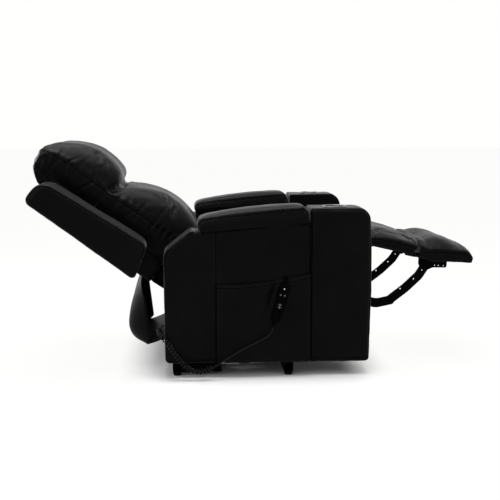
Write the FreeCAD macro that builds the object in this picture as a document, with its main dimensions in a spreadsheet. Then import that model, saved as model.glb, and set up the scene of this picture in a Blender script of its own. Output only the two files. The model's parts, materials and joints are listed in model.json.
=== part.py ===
import FreeCAD, Part
import math
import os
import re

V = FreeCAD.Vector
doc = FreeCAD.newDocument("lift_recliner")
sheet = doc.addObject("Spreadsheet::Sheet", "sizes")

# Driving dimensions in millimetres and degrees. X runs from the arm's rear edge to the footrest,
# Y to the sitter's left, Z up from the floor. The chair is stored reclined, with the footrest out.
SIZES = (
    # overall
    ("origin_shift", -361.3), ("chair_width", 800), ("arm_width", 140), ("arm_length", 780),
    ("arm_bottom", 52), ("arm_top", 637), ("post_seam", 546), ("side_seam", 192), ("nose_radius", 52),
    ("arm_rear_low", 478), ("arm_rear_high", 557), ("arm_slope_run", 100), ("arm_roll", 13),
    ("ledge_rear", 549), ("ledge_front", 586),
    # arm pads, cup holders and side pockets
    ("pad_rear", 121), ("pad_gap", 3), ("pad_side_gap", 5), ("pad_edge", 52), ("pad_crown", 12),
    ("cup_x", 645), ("cup_bore", 38), ("cup_wall", 2.5), ("cup_depth", 72), ("cup_rim", 47),
    ("cup_rim_thick", 3), ("cup_clearance", 0.3),
    ("pocket_depth", 8), ("pocket_cloth", 3), ("pocket_margin", 4), ("pocket_low", 357),
    ("pocket_mid", 367), ("pocket_high", 393),
    # seat box
    ("rail_thick", 24), ("rail_rear", 30), ("rail_front", 750), ("rail_bottom", 178), ("rail_top", 366),
    ("cross_depth", 25), ("cross_height", 24), ("front_cross_x", 715), ("rear_cross_x", 250),
    ("strap_thick", 2), ("strap_width", 50), ("strap_edge", 11), ("slat_x", 20), ("slat_thick", 20),
    ("slat_bottom", 120), ("slat_top", 185), ("seat_rear", 224), ("seat_front", 766),
    ("seat_edge", 58), ("seat_crown", 128), ("cushion_inset", 10),
    # steel plates, links and pins
    ("plate_thick", 5), ("link_gap", 2), ("link_half", 18), ("pin_radius", 6), ("pin_play", 0.05),
    ("open_play", 0.9), ("ear_radius", 9), ("tube_radius", 10), ("tube_wall", 2),
    # base frame
    ("base_tube", 35), ("base_wall", 2), ("base_lift", 14), ("front_tube_x", 449), ("rear_tube_x", 28),
    ("front_inset", 15), ("rear_inset", 38), ("base_rail_inset", 7), ("base_rail_wide", 33),
    ("foot_inset", 3), ("shoe_length", 150), ("shoe_wide", 25), ("shoe_height", 32), ("lug_top", 168),
    # backrest, measured along the back and out from its rear face
    ("back_angle", 36.87), ("back_x", -111), ("back_z", 373), ("wing_inset", 10), ("wing_wide", 142),
    ("wing_height", 492), ("wing_low_depth", 139), ("wing_top_depth", 108), ("wing_cut", 36),
    ("wing_round", 62), ("core_rear", 8), ("core_front", 98), ("core_low", -62), ("core_high", 488),
    ("core_flat", 52), ("core_slope", 46),
    ("lower_end", -205), ("lower_front", 178), ("cushion_back", 101), ("crease_height", 278),
    ("seam_depth", 186), ("lumbar_front", 306), ("cushion_gap", 3), ("bed_gap", 0.3), ("lumbar_low", -112),
    ("pillow_front", 294), ("pillow_top", 572), ("pillow_rear", 64),
    # footrest
    ("mid_tilt", 13.08), ("foot_tilt", 3.5), ("board_inset", 15), ("board_thick", 12), ("mid_length", 178),
    ("foot_length", 218), ("mid_edge", 26), ("mid_crown", 36), ("foot_edge", 14), ("foot_crown", 42),
    # pivots
    ("recline_x", 120), ("recline_z", 290), ("drive_x", 128.3), ("drive_z", 195.4),
    ("knee_x", 653.04), ("knee_z", 342.55), ("elbow_x", 889.99), ("elbow_z", 251.51),
    ("ankle_x", 1030), ("ankle_z", 387), ("mid_x", 790), ("mid_z", 474), ("toe_x", 988), ("toe_z", 428),
    ("rear_low_x", 419.1), ("rear_low_z", 150), ("rear_high_x", 45.1), ("rear_high_z", 80),
    ("front_low_x", 480), ("front_low_z", 148.9), ("front_high_x", 214.5), ("front_high_z", 90),
    ("push_x", 163.5), ("push_z", 102.2), ("lift_eye_x", 430), ("lift_eye_z", 70),
    ("drive_eye_x", 520), ("drive_eye_z", 215),
    # actuators
    ("rod_radius", 9), ("barrel_radius", 17), ("motor_radius", 24), ("motor_length", 95),
    ("lift_barrel", 185), ("drive_barrel", 285), ("fork_play", 6), ("fork_half", 15),
    # control box, handset and its cord
    ("box_length", 100), ("box_wide", 80), ("box_height", 50), ("box_y", 60), ("inlet_radius", 4),
    ("hand_x", 428), ("hand_z", 286), ("hand_tilt", 15.4), ("hand_length", 150), ("hand_top", 42),
    ("hand_foot", 30), ("hand_back", 12), ("hand_face", 10), ("hand_gap", 3), ("hand_roll", 3.5),
    ("hook_width", 14), ("hook_rise", 24), ("key_radius", 4), ("key_x", 8), ("key_z", 34), ("ring_z", -8),
    ("ring_radius", 11), ("ring_split", 1), ("key_play", 0.3), ("key_proud", 1.6), ("key_travel", 1.2),
    ("lamp_radius", 2.2), ("lamp_z", 58), ("relief_length", 18), ("relief_wide", 5),
    ("cord_radius", 2.5), ("curl_radius", 8.5), ("curls", 26), ("gland_radius", 6), ("gland_length", 12),
    ("gland_inset", 38), ("gland_z", 165),
    # rear dust flap
    ("flap_inset", 20), ("cloth_thick", 2.5),
)
for row, (alias, size) in enumerate(SIZES, 1):
    sheet.set("A%d" % row, alias)
    sheet.set("B%d" % row, str(size))
    sheet.setAlias("B%d" % row, alias)
doc.recompute()
NAMES = [alias for alias, size in SIZES]
S = {alias: float(sheet.get(alias)) for alias in NAMES}
nodes = []


def ref(text):
    """An expression on the sheet: every known size name gets the sheet's prefix."""
    return re.sub(r"[a-z_]+", lambda word: "sizes." + word.group() if word.group() in NAMES
                  else word.group(), str(text))


def bind(item, **fields):
    """Tie properties of a document object to the sheet; an underscore stands for a dot."""
    for field, text in fields.items():
        item.setExpression(field.replace("_", "."), ref(text))
    return item


def node(item, name):
    """Mark a finished sub-part; its label is its file's name."""
    item.Label = name
    nodes.append(item)
    return item


def place(item, x="0", y="0", z="0"):
    return bind(item, Placement_Base_x="origin_shift + " + x, Placement_Base_y=y, Placement_Base_z=z)


# Shared derived places
SIDE = "(chair_width / 2)"
ARM_IN = "(chair_width / 2 - arm_width)"
RAIL_IN = "(chair_width / 2 - arm_width - rail_thick)"
STEP = "(plate_thick + link_gap)"
FRONT_REACH = "(chair_width / 2 - front_inset)"
REAR_REACH = "(chair_width / 2 - rear_inset)"
BACK_HALF = "(chair_width / 2 - wing_inset - wing_wide)"
BOARD_HALF = "(chair_width / 2 - arm_width - board_inset)"
side = S["chair_width"] / 2
arm_in = side - S["arm_width"]
rail_in = arm_in - S["rail_thick"]
cushion_half = arm_in - S["cushion_inset"]
back_half = side - S["wing_inset"] - S["wing_wide"]


def layer(index):
    """Inner face of a steel layer, counted inwards from the seat rail, as an expression."""
    return "(%s - %d * %s - plate_thick)" % (RAIL_IN, index, STEP)


def pivot(name):
    return S[name + "_x"], S[name + "_z"]


# Outlines
def rounded(corners):
    """Lines and arcs through (x, z, radius) corners."""
    spans = []
    for index, (x, z, radius) in enumerate(corners):
        corner = V(x, z, 0)
        before = V(*corners[index - 1][:2], 0) - corner
        after = V(*corners[(index + 1) % len(corners)][:2], 0) - corner
        before.normalize()
        after.normalize()
        half = before.getAngle(after) / 2
        middle = before + after
        if radius == 0 or middle.Length < 1e-6:
            spans.append((corner, corner, corner))
            continue
        middle.normalize()
        reach = radius / math.tan(half)
        inner = corner + middle * (radius / math.sin(half) - radius)
        spans.append((corner + before * reach, inner, corner + after * reach))
    edges = []
    for index, (enter, inner, leave) in enumerate(spans):
        if enter.distanceToPoint(leave) > 1e-6:
            edges.append(Part.Arc(enter, inner, leave))
        following = spans[(index + 1) % len(spans)][0]
        if leave.distanceToPoint(following) > 1e-6:
            edges.append(Part.LineSegment(leave, following))
    return edges


def bar(path, half, bend=12):
    """A flat bar of one width along a path, with round ends."""
    points = [V(x, z, 0) for x, z in path]
    first = (points[0] - points[1]).normalize() * half
    last = (points[-1] - points[-2]).normalize() * half
    points[0] = points[0] + first
    points[-1] = points[-1] + last
    left, right = [], []
    for index, point in enumerate(points):
        ways = []
        if index > 0:
            ways.append((point - points[index - 1]).normalize())
        if index < len(points) - 1:
            ways.append((points[index + 1] - point).normalize())
        along = (ways[0] + ways[-1]).normalize()
        normal = V(-along.y, along.x, 0)
        stretch = half / max(0.3, normal.dot(V(-ways[0].y, ways[0].x, 0)))
        radius = half * 0.96 if index in (0, len(points) - 1) else bend
        left.append((*(point + normal * stretch)[:2], radius))
        right.append((*(point - normal * stretch)[:2], radius))
    return rounded(left + right[::-1])


def sketch_in(body, name, edges, role="XZ_Plane"):
    sketch = body.newObject("Sketcher::SketchObject", name + "_profile")
    plane = [item for item in body.Origin.OriginFeatures if item.Role == role][0]
    sketch.AttachmentSupport = [(plane, "")]
    sketch.MapMode = "FlatFace"
    sketch.addGeometry(edges, False)
    return sketch


def holes(*rings):
    return [Part.Circle(V(x, z, 0), V(0, 0, 1), radius) for x, z, radius in rings]


def slab(name, edges, thick, inner):
    """A body of one thickness towards -Y from its inner face, cut to an outline in X and Z."""
    body = doc.addObject("PartDesign::Body", name)
    pad = body.newObject("PartDesign::Pad", name + "_pad")
    pad.Profile = sketch_in(body, name, edges)
    bind(pad, Length=thick)
    return place(body, y=inner)


def roll(body, name, radius, where):
    """Round the edges of one flat side, picked by its Y."""
    doc.recompute()
    tip = body.Tip
    edges = ["Edge%d" % (number + 1) for number, edge in enumerate(tip.Shape.Edges)
             if all(abs(vertex.Point.y - where) < 1e-3 for vertex in edge.Vertexes)]
    fillet = body.newObject("PartDesign::Fillet", name + "_roll")
    fillet.Base = (tip, edges)
    bind(fillet, Radius=radius)
    return body


def block(name, x, y, z, length, width, height):
    item = doc.addObject("Part::Box", name)
    bind(item, Length=length, Width=width, Height=height)
    return place(item, x, y, z)


def rod(name, x, y, z, radius, height, axis=V(1, 0, 0), turn=90):
    """A cylinder; the default turn points it towards -Y."""
    item = doc.addObject("Part::Cylinder", name)
    bind(item, Radius=radius, Height=height)
    item.Placement.Rotation = FreeCAD.Rotation(axis, turn)
    return place(item, x, y, z)


def cut(name, base, tool):
    item = doc.addObject("Part::Cut", name)
    item.Base, item.Tool = base, tool
    return item


def fuse(name, *items):
    item = doc.addObject("Part::MultiFuse", name)
    item.Shapes = list(items)
    return item


def group(name, items):
    item = doc.addObject("Part::Compound", name)
    item.Links = items
    return item


def mirror(item):
    copy = doc.addObject("Part::Mirroring", item.Name + "_mirrored")
    copy.Source, copy.Normal, copy.Base = item, V(0, 1, 0), V(0, 0, 0)
    return copy


def pair(item, name):
    """Right and left pieces in one node."""
    return node(group(name, [item, mirror(item)]), name)


def sides(item, name):
    """Right and left pieces, each its own node."""
    node(item, name + "_right")
    node(mirror(item), name + "_left")


def square_tube(name, x, y, z, length, width, height, along):
    """A square steel tube, open along X or Y."""
    outer = block(name + "_outer", x, y, z, length, width, height)
    shell = {"x": "0 * base_wall", "y": "0 * base_wall", "z": "base_wall"}
    shell["y" if along == "x" else "x"] = "base_wall"
    inner = block(name + "_inner", "%s + %s" % (x, shell["x"]), "%s + %s" % (y, shell["y"]),
                  "%s + %s" % (z, shell["z"]), "%s - 2 * %s" % (length, shell["x"]),
                  "%s - 2 * %s" % (width, shell["y"]), "%s - 2 * %s" % (height, shell["z"]))
    return cut(name, outer, inner)


def round_tube(name, at, half):
    """A round cross tube along Y between two side plates."""
    outer = rod(name + "_outer", at + "_x", half, at + "_z", "tube_radius", "2 * " + half)
    inner = rod(name + "_inner", at + "_x", half, at + "_z", "tube_radius - tube_wall", "2 * " + half)
    return cut(name, outer, inner)


def pin(name, at, inner, outer):
    """A pivot pin on the right-hand side, from its inner to its outer layer."""
    return rod(name, at + "_x", "-" + inner, at + "_z", "pin_radius", "%s - %s" % (outer, inner))


def pins(name, stations):
    """Pivot pins on both sides, each from its inner to its outer layer."""
    right = [pin("%s_%s" % (name, at), at, layer(inner), "(%s + plate_thick)" % layer(outer))
             for at, inner, outer in stations]
    return right + [mirror(item) for item in right]


hole = S["pin_radius"]
loose = S["pin_radius"] + S["pin_play"]
slack = S["pin_radius"] + S["open_play"]


# Base frame: a ladder of square tubes on four feet
def base_frame():
    node(square_tube("base_front_tube", "front_tube_x", "-" + FRONT_REACH, "base_lift", "base_tube",
                     "2 * " + FRONT_REACH, "base_tube", "y"), "base_front_tube")
    node(square_tube("base_rear_tube", "rear_tube_x", "-" + REAR_REACH, "base_lift", "base_tube",
                     "2 * " + REAR_REACH, "base_tube", "y"), "base_rear_tube")
    between = "(front_tube_x - rear_tube_x - base_tube)"
    pair(square_tube("base_rail", "rear_tube_x + base_tube", "base_rail_inset - " + RAIL_IN,
                     "base_lift", between, "base_rail_wide", "base_tube", "x"), "base_rails")
    feet = []
    for spot, reach in (("front_tube_x", FRONT_REACH), ("rear_tube_x", REAR_REACH)):
        foot = doc.addObject("Part::Cone", "foot_" + spot)
        bind(foot, Radius1="base_tube / 2 - foot_inset", Radius2="base_tube / 2", Height="base_lift")
        place(foot, spot + " + base_tube / 2", "base_tube / 2 - " + reach)
        feet += [foot, mirror(foot)]
    node(group("base_feet", feet), "base_feet")
    pair(block("base_shoe", "rear_tube_x + base_tube", "-" + REAR_REACH, "base_lift",
               "shoe_length", "shoe_wide", "shoe_height"), "base_rear_shoes")
    top = S["lug_top"]
    floor = S["base_lift"] + S["base_tube"]
    rear_x, front_x = S["rear_low_x"], S["front_low_x"]
    half = S["link_half"]
    lug = rounded([(rear_x - 2.2 * half, floor, 4), (front_x + 0.2 * half, floor, 4),
                   (front_x + 1.2 * half, S["front_low_z"], 14), (front_x + 0.9 * half, top, 14),
                   (rear_x - 0.9 * half, top, 14), (rear_x - 1.3 * half, S["rear_low_z"], 14)])
    pivots = holes((*pivot("rear_low"), hole), (*pivot("front_low"), hole))
    bracket = slab("base_lug", lug + pivots, "plate_thick", "-" + layer(3))
    studs = pins("base_pin", (("rear_low", 4, 3), ("front_low", 3, 2)))
    node(group("base_brackets", [bracket, mirror(bracket)] + studs), "base_brackets")
    eye_x, eye_z = pivot("lift_eye")
    face_x, face_z = S["front_tube_x"], S["base_lift"] + S["base_tube"]
    ear = rounded([(face_x, face_z - 30, 0), (face_x, face_z - 2, 0), (eye_x + 11, eye_z + 11, 9),
                   (eye_x - 11, eye_z + 11, 10), (eye_x - 11, eye_z - 11, 10)])
    lugs = slab("lift_eye_lug", ear + holes((eye_x, eye_z, hole)), "plate_thick", "-barrel_radius - link_gap")
    bolt = rod("lift_eye_pin", "lift_eye_x", "barrel_radius + link_gap + plate_thick", "lift_eye_z",
               "pin_radius", "2 * (barrel_radius + link_gap + plate_thick)")
    node(group("lift_motor_lug", [lugs, mirror(lugs), bolt]), "lift_motor_lug")


# Lift: two links a side and the tube that the lift motor pushes
def lift_links():
    rear = bar([pivot("rear_low"), pivot("rear_high")], S["link_half"])
    rings = holes((*pivot("rear_low"), loose), (*pivot("rear_high"), loose))
    link = slab("rear_lift_link", rear + rings, "plate_thick", "-" + layer(4))
    tube = round_tube("rear_lift_tube", "push", layer(4))
    node(group("rear_lift_links", [link, mirror(link), tube]), "rear_lift_links")
    front = bar([pivot("front_low"), pivot("front_high")], S["link_half"])
    rings = holes((*pivot("front_low"), loose), (*pivot("front_high"), slack))
    pair(slab("front_lift_link", front + rings, "plate_thick", "-" + layer(2)), "front_lift_links")


# Seat box: steel side plates, wooden rails and webbing
def seat_box():
    rear, front, top = S["slat_x"], S["knee_x"] + 38, S["rail_top"]
    outline = rounded([(rear, S["rear_high_z"] - 20, 18),
                       (S["front_high_x"] + 22, S["front_high_z"] - 22, 18),
                       (S["front_high_x"] + 48, S["front_high_z"] + 72, 30),
                       (front, S["drive_eye_z"] - 20, 24),
                       (front, top - 2, 20), (S["recline_x"] - 60, S["recline_z"] + 40, 30),
                       (rear, S["recline_z"] + 8, 30)])
    rings = holes(*[(*pivot(name), hole) for name in ("rear_high", "front_high", "recline", "knee")])
    pair(slab("side_plate", outline + rings, "plate_thick", "-" + layer(0)), "mechanism_plates")
    studs = pins("body_pin", (("rear_high", 4, 0), ("front_high", 2, 0), ("recline", 1, 0), ("knee", 1, 0)))
    node(group("body_pins", studs), "body_pins")
    pair(block("seat_rail", "rail_rear", "-" + ARM_IN, "rail_bottom", "rail_front - rail_rear",
               "rail_thick", "rail_top - rail_bottom"), "seat_rails")
    crosses = [block(name, name + "_x", "-" + RAIL_IN, "rail_top - cross_height", "cross_depth",
                     "2 * " + RAIL_IN, "cross_height") for name in ("front_cross", "rear_cross")]
    node(group("seat_cross_rails", crosses), "seat_cross_rails")
    node(block("rear_slat", "slat_x", "-" + layer(0), "slat_bottom", "slat_thick", "2 * " + layer(0),
               "slat_top - slat_bottom"), "rear_slat")
    straps = [block("strap_%d" % (place_in_row + 2), "rear_cross_x",
                    "%d * (%s - strap_edge) * 2 / 5 - strap_width / 2" % (place_in_row, RAIL_IN), "rail_top",
                    "front_cross_x - rear_cross_x + cross_depth", "strap_width", "strap_thick")
              for place_in_row in range(-2, 3)]
    node(group("seat_webbing", straps), "seat_webbing")
    node(round_tube("motor_tube", "drive_eye", layer(0)), "motor_cross_tube")
    foot_x, foot_z, turn_x, turn_z = S["front_cross_x"] + S["cross_depth"], S["rail_top"], *pivot("mid")
    low = foot_z - S["cross_height"]
    ear, back_x = S["ear_radius"], turn_x - S["ear_radius"] - 9
    arm = rounded([(foot_x, low, 2), (turn_x - 1, low, 10), (turn_x - 1, turn_z - ear - 4, 2),
                   (turn_x + ear, turn_z - ear + 1, 4), (turn_x + ear, turn_z + ear, 8.5),
                   (turn_x - ear, turn_z + ear, 8.5), (back_x, turn_z - 30, 8), (back_x, foot_z, 6),
                   (foot_x, foot_z, 2)])
    arms = slab("hinge_arm", arm + holes((turn_x, turn_z, hole)), "plate_thick", "-" + layer(5))
    bolt = pin("hinge_arm_pin", "mid", layer(6), "(%s + plate_thick)" % layer(5))
    node(group("footrest_hinge_arms", [arms, bolt, mirror(arms), mirror(bolt)]), "footrest_hinge_arms")
    case = block("control_case", "rear_cross_x", "box_y", "rail_top - cross_height - box_height",
                 "box_length", "box_wide", "box_height")
    socket = rod("control_socket", "rear_cross_x + box_length", "box_y + box_wide / 2",
                 "rail_top - cross_height - box_height / 2", "inlet_radius", "box_length / 4",
                 V(0, 1, 0), -90)
    node(cut("control_box", case, socket), "control_box")


# Arms: upholstered side, front post with a cup holder, pocket
def arms():
    high = S["arm_rear_high"]
    body = rounded([(0, S["arm_bottom"] + 6, 16), (S["post_seam"], S["arm_bottom"], 0),
                    (S["post_seam"], S["ledge_front"], 0), (S["pad_rear"] + 20, S["ledge_rear"], 8),
                    (S["arm_slope_run"], high, 18), (0, S["arm_rear_low"], 40)])
    flank = slab("arm_side", body, "arm_width", "-" + ARM_IN)
    sides(flank, "arm_side")
    nose = S["nose_radius"]
    front = rounded([(S["post_seam"], S["arm_bottom"], 0), (S["arm_length"] - 5, S["arm_bottom"] - 2, 14),
                     (S["arm_length"], S["arm_top"] * 0.5, 300), (S["arm_length"] - 6, S["arm_top"], nose),
                     (S["post_seam"], S["arm_top"], 8)])
    post = roll(slab("arm_post", front, "arm_width", "-" + ARM_IN), "arm_post", "arm_roll", -S["arm_width"])
    recess = rod("cup_recess", "cup_x", "arm_width / 2 - " + SIDE, "arm_top - cup_depth - cup_wall",
                 "cup_bore + cup_wall + cup_clearance", "cup_depth + cup_wall", V(0, 0, 1), 0)
    sides(cut("arm_post_cut", post, recess), "arm_post")
    bore, wall, rim = S["cup_bore"], S["cup_wall"], S["cup_rim"]
    depth, lip = S["cup_depth"], S["cup_rim_thick"]
    wall_line = rounded([(0, -depth, 0), (bore + wall, -depth, 4), (bore + wall, 0, 0), (rim, 0, 0),
                         (rim - 1, lip, 0.8), (bore + 2, lip, 1.5), (bore, 0, 4), (bore, wall - depth, 3),
                         (0, wall - depth, 0)])
    cup = doc.addObject("PartDesign::Body", "cup_holder")
    turned = cup.newObject("PartDesign::Revolution", "cup_holder_turned")
    turned.Profile = sketch_in(cup, "cup_holder", wall_line)
    turned.ReferenceAxis = (turned.Profile[0], ["V_Axis"])
    place(cup, "cup_x", "arm_width / 2 - " + SIDE, "arm_top")
    pair(cup, "cup_holders")
    low, margin = S["arm_bottom"] + S["pocket_margin"], S["pocket_margin"]
    rear, front_edge = S["side_seam"] + margin, S["post_seam"] - margin
    middle = S["hand_x"]
    mouth = [(front_edge, S["pocket_high"], 3), (middle, S["pocket_mid"], 90), (rear, S["pocket_low"], 3)]
    panel = slab("pocket_panel", rounded([(rear, low, 12), (front_edge, low, 12)] + mouth),
                 "pocket_cloth", "-%s - pocket_depth" % SIDE)
    cloth = S["pocket_cloth"]
    hem = rounded([(rear, low, 12), (front_edge, low, 12), (front_edge, S["pocket_high"], 0),
                   (front_edge - cloth, S["pocket_high"] - 3, 0), (front_edge - cloth, low + cloth, 9),
                   (rear + cloth, low + cloth, 9), (rear + cloth, S["pocket_low"], 0),
                   (rear, S["pocket_low"], 0)])
    border = slab("pocket_hem", hem, "pocket_depth", "-" + SIDE)
    pair(fuse("pocket", panel, border), "side_pockets")


# Soft forms: closed lofts through sections of lines and arcs
def section(y, runs, to_frame):
    """One closed section from points; a run of two points is a line and of three an arc."""
    edges = []
    for run in runs:
        points = [V(*to_frame(*point), 0) for point in run]
        points = [V(point.x, y, point.y) for point in points]
        curve = Part.LineSegment(*points) if len(points) == 2 else Part.Arc(*points)
        edges.append(curve.toShape())
    return Part.Wire(edges)


def soft(name, stations, runs_at, to_frame):
    """A cushion through sections at (y, crown share); the share draws its sides in."""
    wires = [section(y, runs_at(share), to_frame) for y, share in stations]
    item = doc.addObject("Part::Feature", name)
    item.Shape = Part.makeLoft(wires, True, False)
    place(item)
    return item


def across(middle, half, ends=0.1, shoulder=0.86, turn=0.2):
    """Stations over a width: drawn-in ends, rounded shoulders, full middle."""
    inset = half * turn
    return ((middle - half, ends), (middle - half + inset, shoulder), (middle, 1.0),
            (middle + half - inset, shoulder), (middle + half, ends))


def plain(x, z):
    return x, z


def in_back(s, t):
    """A point measured up the back and out from its rear face, in X and Z."""
    angle = math.radians(S["back_angle"])
    return (S["back_x"] - s * math.cos(angle) + t * math.sin(angle),
            S["back_z"] + s * math.sin(angle) + t * math.cos(angle))


def tilted(at, degrees):
    """A frame at a pivot, sloping down to the front."""
    x0, z0 = pivot(at)
    angle = math.radians(degrees)

    def to_frame(u, w):
        return (x0 + u * math.cos(angle) + w * math.sin(angle),
                z0 - u * math.sin(angle) + w * math.cos(angle))
    return to_frame


def seat_cushion():
    low = S["rail_top"] + S["strap_thick"] + S["bed_gap"]
    edge, rear, front = S["seat_edge"], S["seat_rear"], S["seat_front"]

    def runs(share):
        top = low + edge + (S["seat_crown"] - edge) * share
        back = low + edge + (S["seat_crown"] - edge - 34) * share
        draw = 6 * (1 - share)
        return (((rear + draw, low), (front - draw, low)),
                ((front - draw, low), (front - 2, (low + top) / 2), (front - 24, top - 8 * share)),
                ((front - 24, top - 8 * share), ((rear + front) / 2, top), (rear + 60, back)),
                ((rear + 60, back), (rear + 12, (low + back) / 2 + 12), (rear + draw, low)))
    node(soft("seat_cushion", across(0, cushion_half), runs, plain), "seat_cushion")


def arm_pads():
    run = S["post_seam"] - S["pad_gap"] - S["pad_rear"]
    slope = (S["ledge_front"] - S["ledge_rear"]) / (S["post_seam"] - S["pad_rear"] - 20)
    edge, crown = S["pad_edge"], S["pad_crown"]

    def to_frame(u, w):
        return S["pad_rear"] + u, S["ledge_rear"] + 1 + max(0, u - 20) * slope + w

    def runs(share):
        top = edge + crown * share
        draw = 5 * (1 - share)
        return (((22, 0), (run, 0)), ((run, 0), (run - draw, edge * 0.55), (run - 24, top)),
                ((run - 24, top), (run * 0.55, top + 7 * share), (28, top - 4)),
                ((28, top - 4), (3 + draw, edge * 0.5), (22, 0)))
    middle, half = -(side + arm_in) / 2, S["arm_width"] / 2 - 1
    width = across(middle, half, ends=0.05, shoulder=0.8, turn=0.25)
    sides(soft("arm_pad", width, runs, to_frame), "arm_pad")


def back_cushions():
    seam, crease, flat = S["seam_depth"], S["crease_height"], S["cushion_back"]
    top, rear, bulge = S["pillow_top"], S["pillow_rear"], S["pillow_front"] - S["seam_depth"]
    shelf, slope = S["core_high"] + 2, S["core_slope"]
    tall, low = top - crease, S["lumbar_low"]
    lumbar_tall = crease - low

    def pillow(share):
        out = bulge * share
        high = shelf + (top - shelf) * (0.8 + 0.2 * share)
        nose = crease - 0.11 * tall * share
        chin = crease + 0.04 * tall
        return (((shelf, rear), (shelf - slope, flat)), ((shelf - slope, flat), (crease + 2, flat)),
                ((crease + 2, flat), (crease + 2, seam)),
                ((crease + 2, seam), (nose, seam + 0.52 * out), (chin, seam + 0.94 * out)),
                ((chin, seam + 0.94 * out), (crease + 0.39 * tall, seam + out),
                 (high - 0.225 * tall, seam + 0.62 * out)),
                ((high - 0.225 * tall, seam + 0.62 * out),
                 (high - 0.024 * tall, 0.9 * seam + 0.22 * out), (high, 0.77 * seam)),
                ((high, 0.77 * seam), (high - 0.075 * tall, 0.52 * seam), (shelf + 0.04 * tall, rear + 4)),
                ((shelf + 0.04 * tall, rear + 4), (shelf, rear)))
    node(soft("head_pillow", across(0, back_half - 1), pillow, in_back), "head_pillow")
    front = S["lumbar_front"] - S["seam_depth"]

    def lumbar(share):
        out = front * share
        lip = [V(*point, 0) for point in pillow(share)[3]]
        ring = Part.Arc(*lip).toShape().Curve
        middle, radius = ring.Center, ring.Radius + S["cushion_gap"]

        def under_pillow(t):
            return middle.x - math.sqrt(radius ** 2 - (t - middle.y) ** 2), t
        seat, bend, tip = [under_pillow(seam + bulge * share * reach) for reach in (0, 0.25, 0.5)]
        return (((seat[0], flat), (low, flat)), ((low, flat), (low, seam)),
                ((low, seam), (low - 0.026 * lumbar_tall, seam + 0.55 * out),
                 (low + 0.1 * lumbar_tall, seam + 0.95 * out)),
                ((low + 0.1 * lumbar_tall, seam + 0.95 * out), (low + 0.51 * lumbar_tall, seam + out), tip),
                (tip, bend, seat), (seat, (seat[0], flat)))
    node(soft("lumbar_cushion", across(0, back_half - 1), lumbar, in_back), "lumbar_cushion")


# Backrest frame: core, lower frame, wings and the steel brackets
def back_corners(points):
    return rounded([(*in_back(s, t), radius) for s, t, radius in points])


def backrest():
    core = back_corners([(S["core_low"], S["core_rear"], 4), (S["core_high"], S["core_rear"], 20),
                         (S["core_high"], S["core_rear"] + S["core_flat"], 20),
                         (S["core_high"] - S["core_slope"], S["core_front"], 20),
                         (S["core_low"], S["core_front"], 4)])
    node(slab("back_core", core, "2 * " + BACK_HALF, BACK_HALF), "back_core")
    low, step = S["core_low"], S["lumbar_low"] - 2
    lower = back_corners([(low, S["core_rear"] + 4, 0), (low, S["core_front"], 0), (step, S["core_front"], 0),
                          (step - 4, S["lower_front"], 14), (S["lower_end"] + 5, S["lower_front"] - 6, 20),
                          (S["lower_end"], S["core_rear"] + 12, 30)])
    node(slab("back_lower", lower, "2 * " + layer(1), layer(1)), "back_lower_frame")
    high = S["wing_height"]
    wing = back_corners([(0, 0, 14), (high, 0, 22), (high, S["wing_top_depth"], S["wing_round"]),
                         (S["wing_cut"], S["wing_low_depth"], 36)])
    panel = slab("back_wing", wing, "wing_wide", "-" + BACK_HALF)
    sides(roll(panel, "back_wing", "arm_roll", -S["wing_wide"]), "back_wing")
    reach = in_back(S["core_low"] - S["link_half"] - 6, (S["core_rear"] + S["core_front"]) / 2)
    strap = bar([pivot("drive"), pivot("recline"), reach], S["link_half"] + 2, 30)
    rings = holes((*pivot("recline"), loose), (*pivot("drive"), S["tube_radius"] - S["tube_wall"]))
    bracket = slab("back_bracket", strap + rings, "plate_thick", "-" + layer(1))
    tube = round_tube("back_tube", "drive", layer(1))
    node(group("back_brackets", [bracket, mirror(bracket), tube]), "back_brackets")


# Footrest: cranked links, boards with hinge ears, pads
def footrest():
    knee, elbow, ankle = pivot("knee"), pivot("elbow"), pivot("ankle")
    half = S["link_half"]
    inner = bar([knee, (knee[0] + 105, knee[1] - 76), (elbow[0] - 60, elbow[1] - 12), elbow], half, 60)
    rings = holes((*knee, loose), (*elbow, hole))
    inner_link = slab("inner_link", inner + rings, "plate_thick", "-" + layer(1))
    elbow_pin = pin("elbow_pin", "elbow", layer(2), "(%s + plate_thick)" % layer(1))
    brace = rod_between("inner_brace", knee[0] + 105, knee[1] - 76)
    node(group("footrest_inner_links", [inner_link, elbow_pin, mirror(inner_link), mirror(elbow_pin), brace]),
         "footrest_inner_links")
    outer = bar([elbow, (elbow[0] + 62, elbow[1] + 47), (ankle[0] - 26, ankle[1] - 40), ankle], half, 60)
    rivets = [(elbow[0] + 42, elbow[1] + 44, 3), (elbow[0] + 95, elbow[1] + 83, 3),
              (ankle[0] - 12, ankle[1] - 18, 2.5)]
    rings = holes((*elbow, loose), (*ankle, hole), *rivets)
    outer_link = slab("outer_link", outer + rings, "plate_thick", "-" + layer(2))
    ankle_pin = pin("ankle_pin", "ankle", layer(3), "(%s + plate_thick)" % layer(2))
    node(group("footrest_outer_links", [outer_link, ankle_pin, mirror(outer_link), mirror(ankle_pin)]),
         "footrest_outer_links")
    boards()


def rod_between(name, x, z):
    outer = rod(name + "_outer", str(x), layer(1), str(z), "tube_radius", "2 * " + layer(1))
    inner = rod(name + "_inner", str(x), layer(1), str(z), "tube_radius - tube_wall", "2 * " + layer(1))
    return cut(name, outer, inner)


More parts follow.
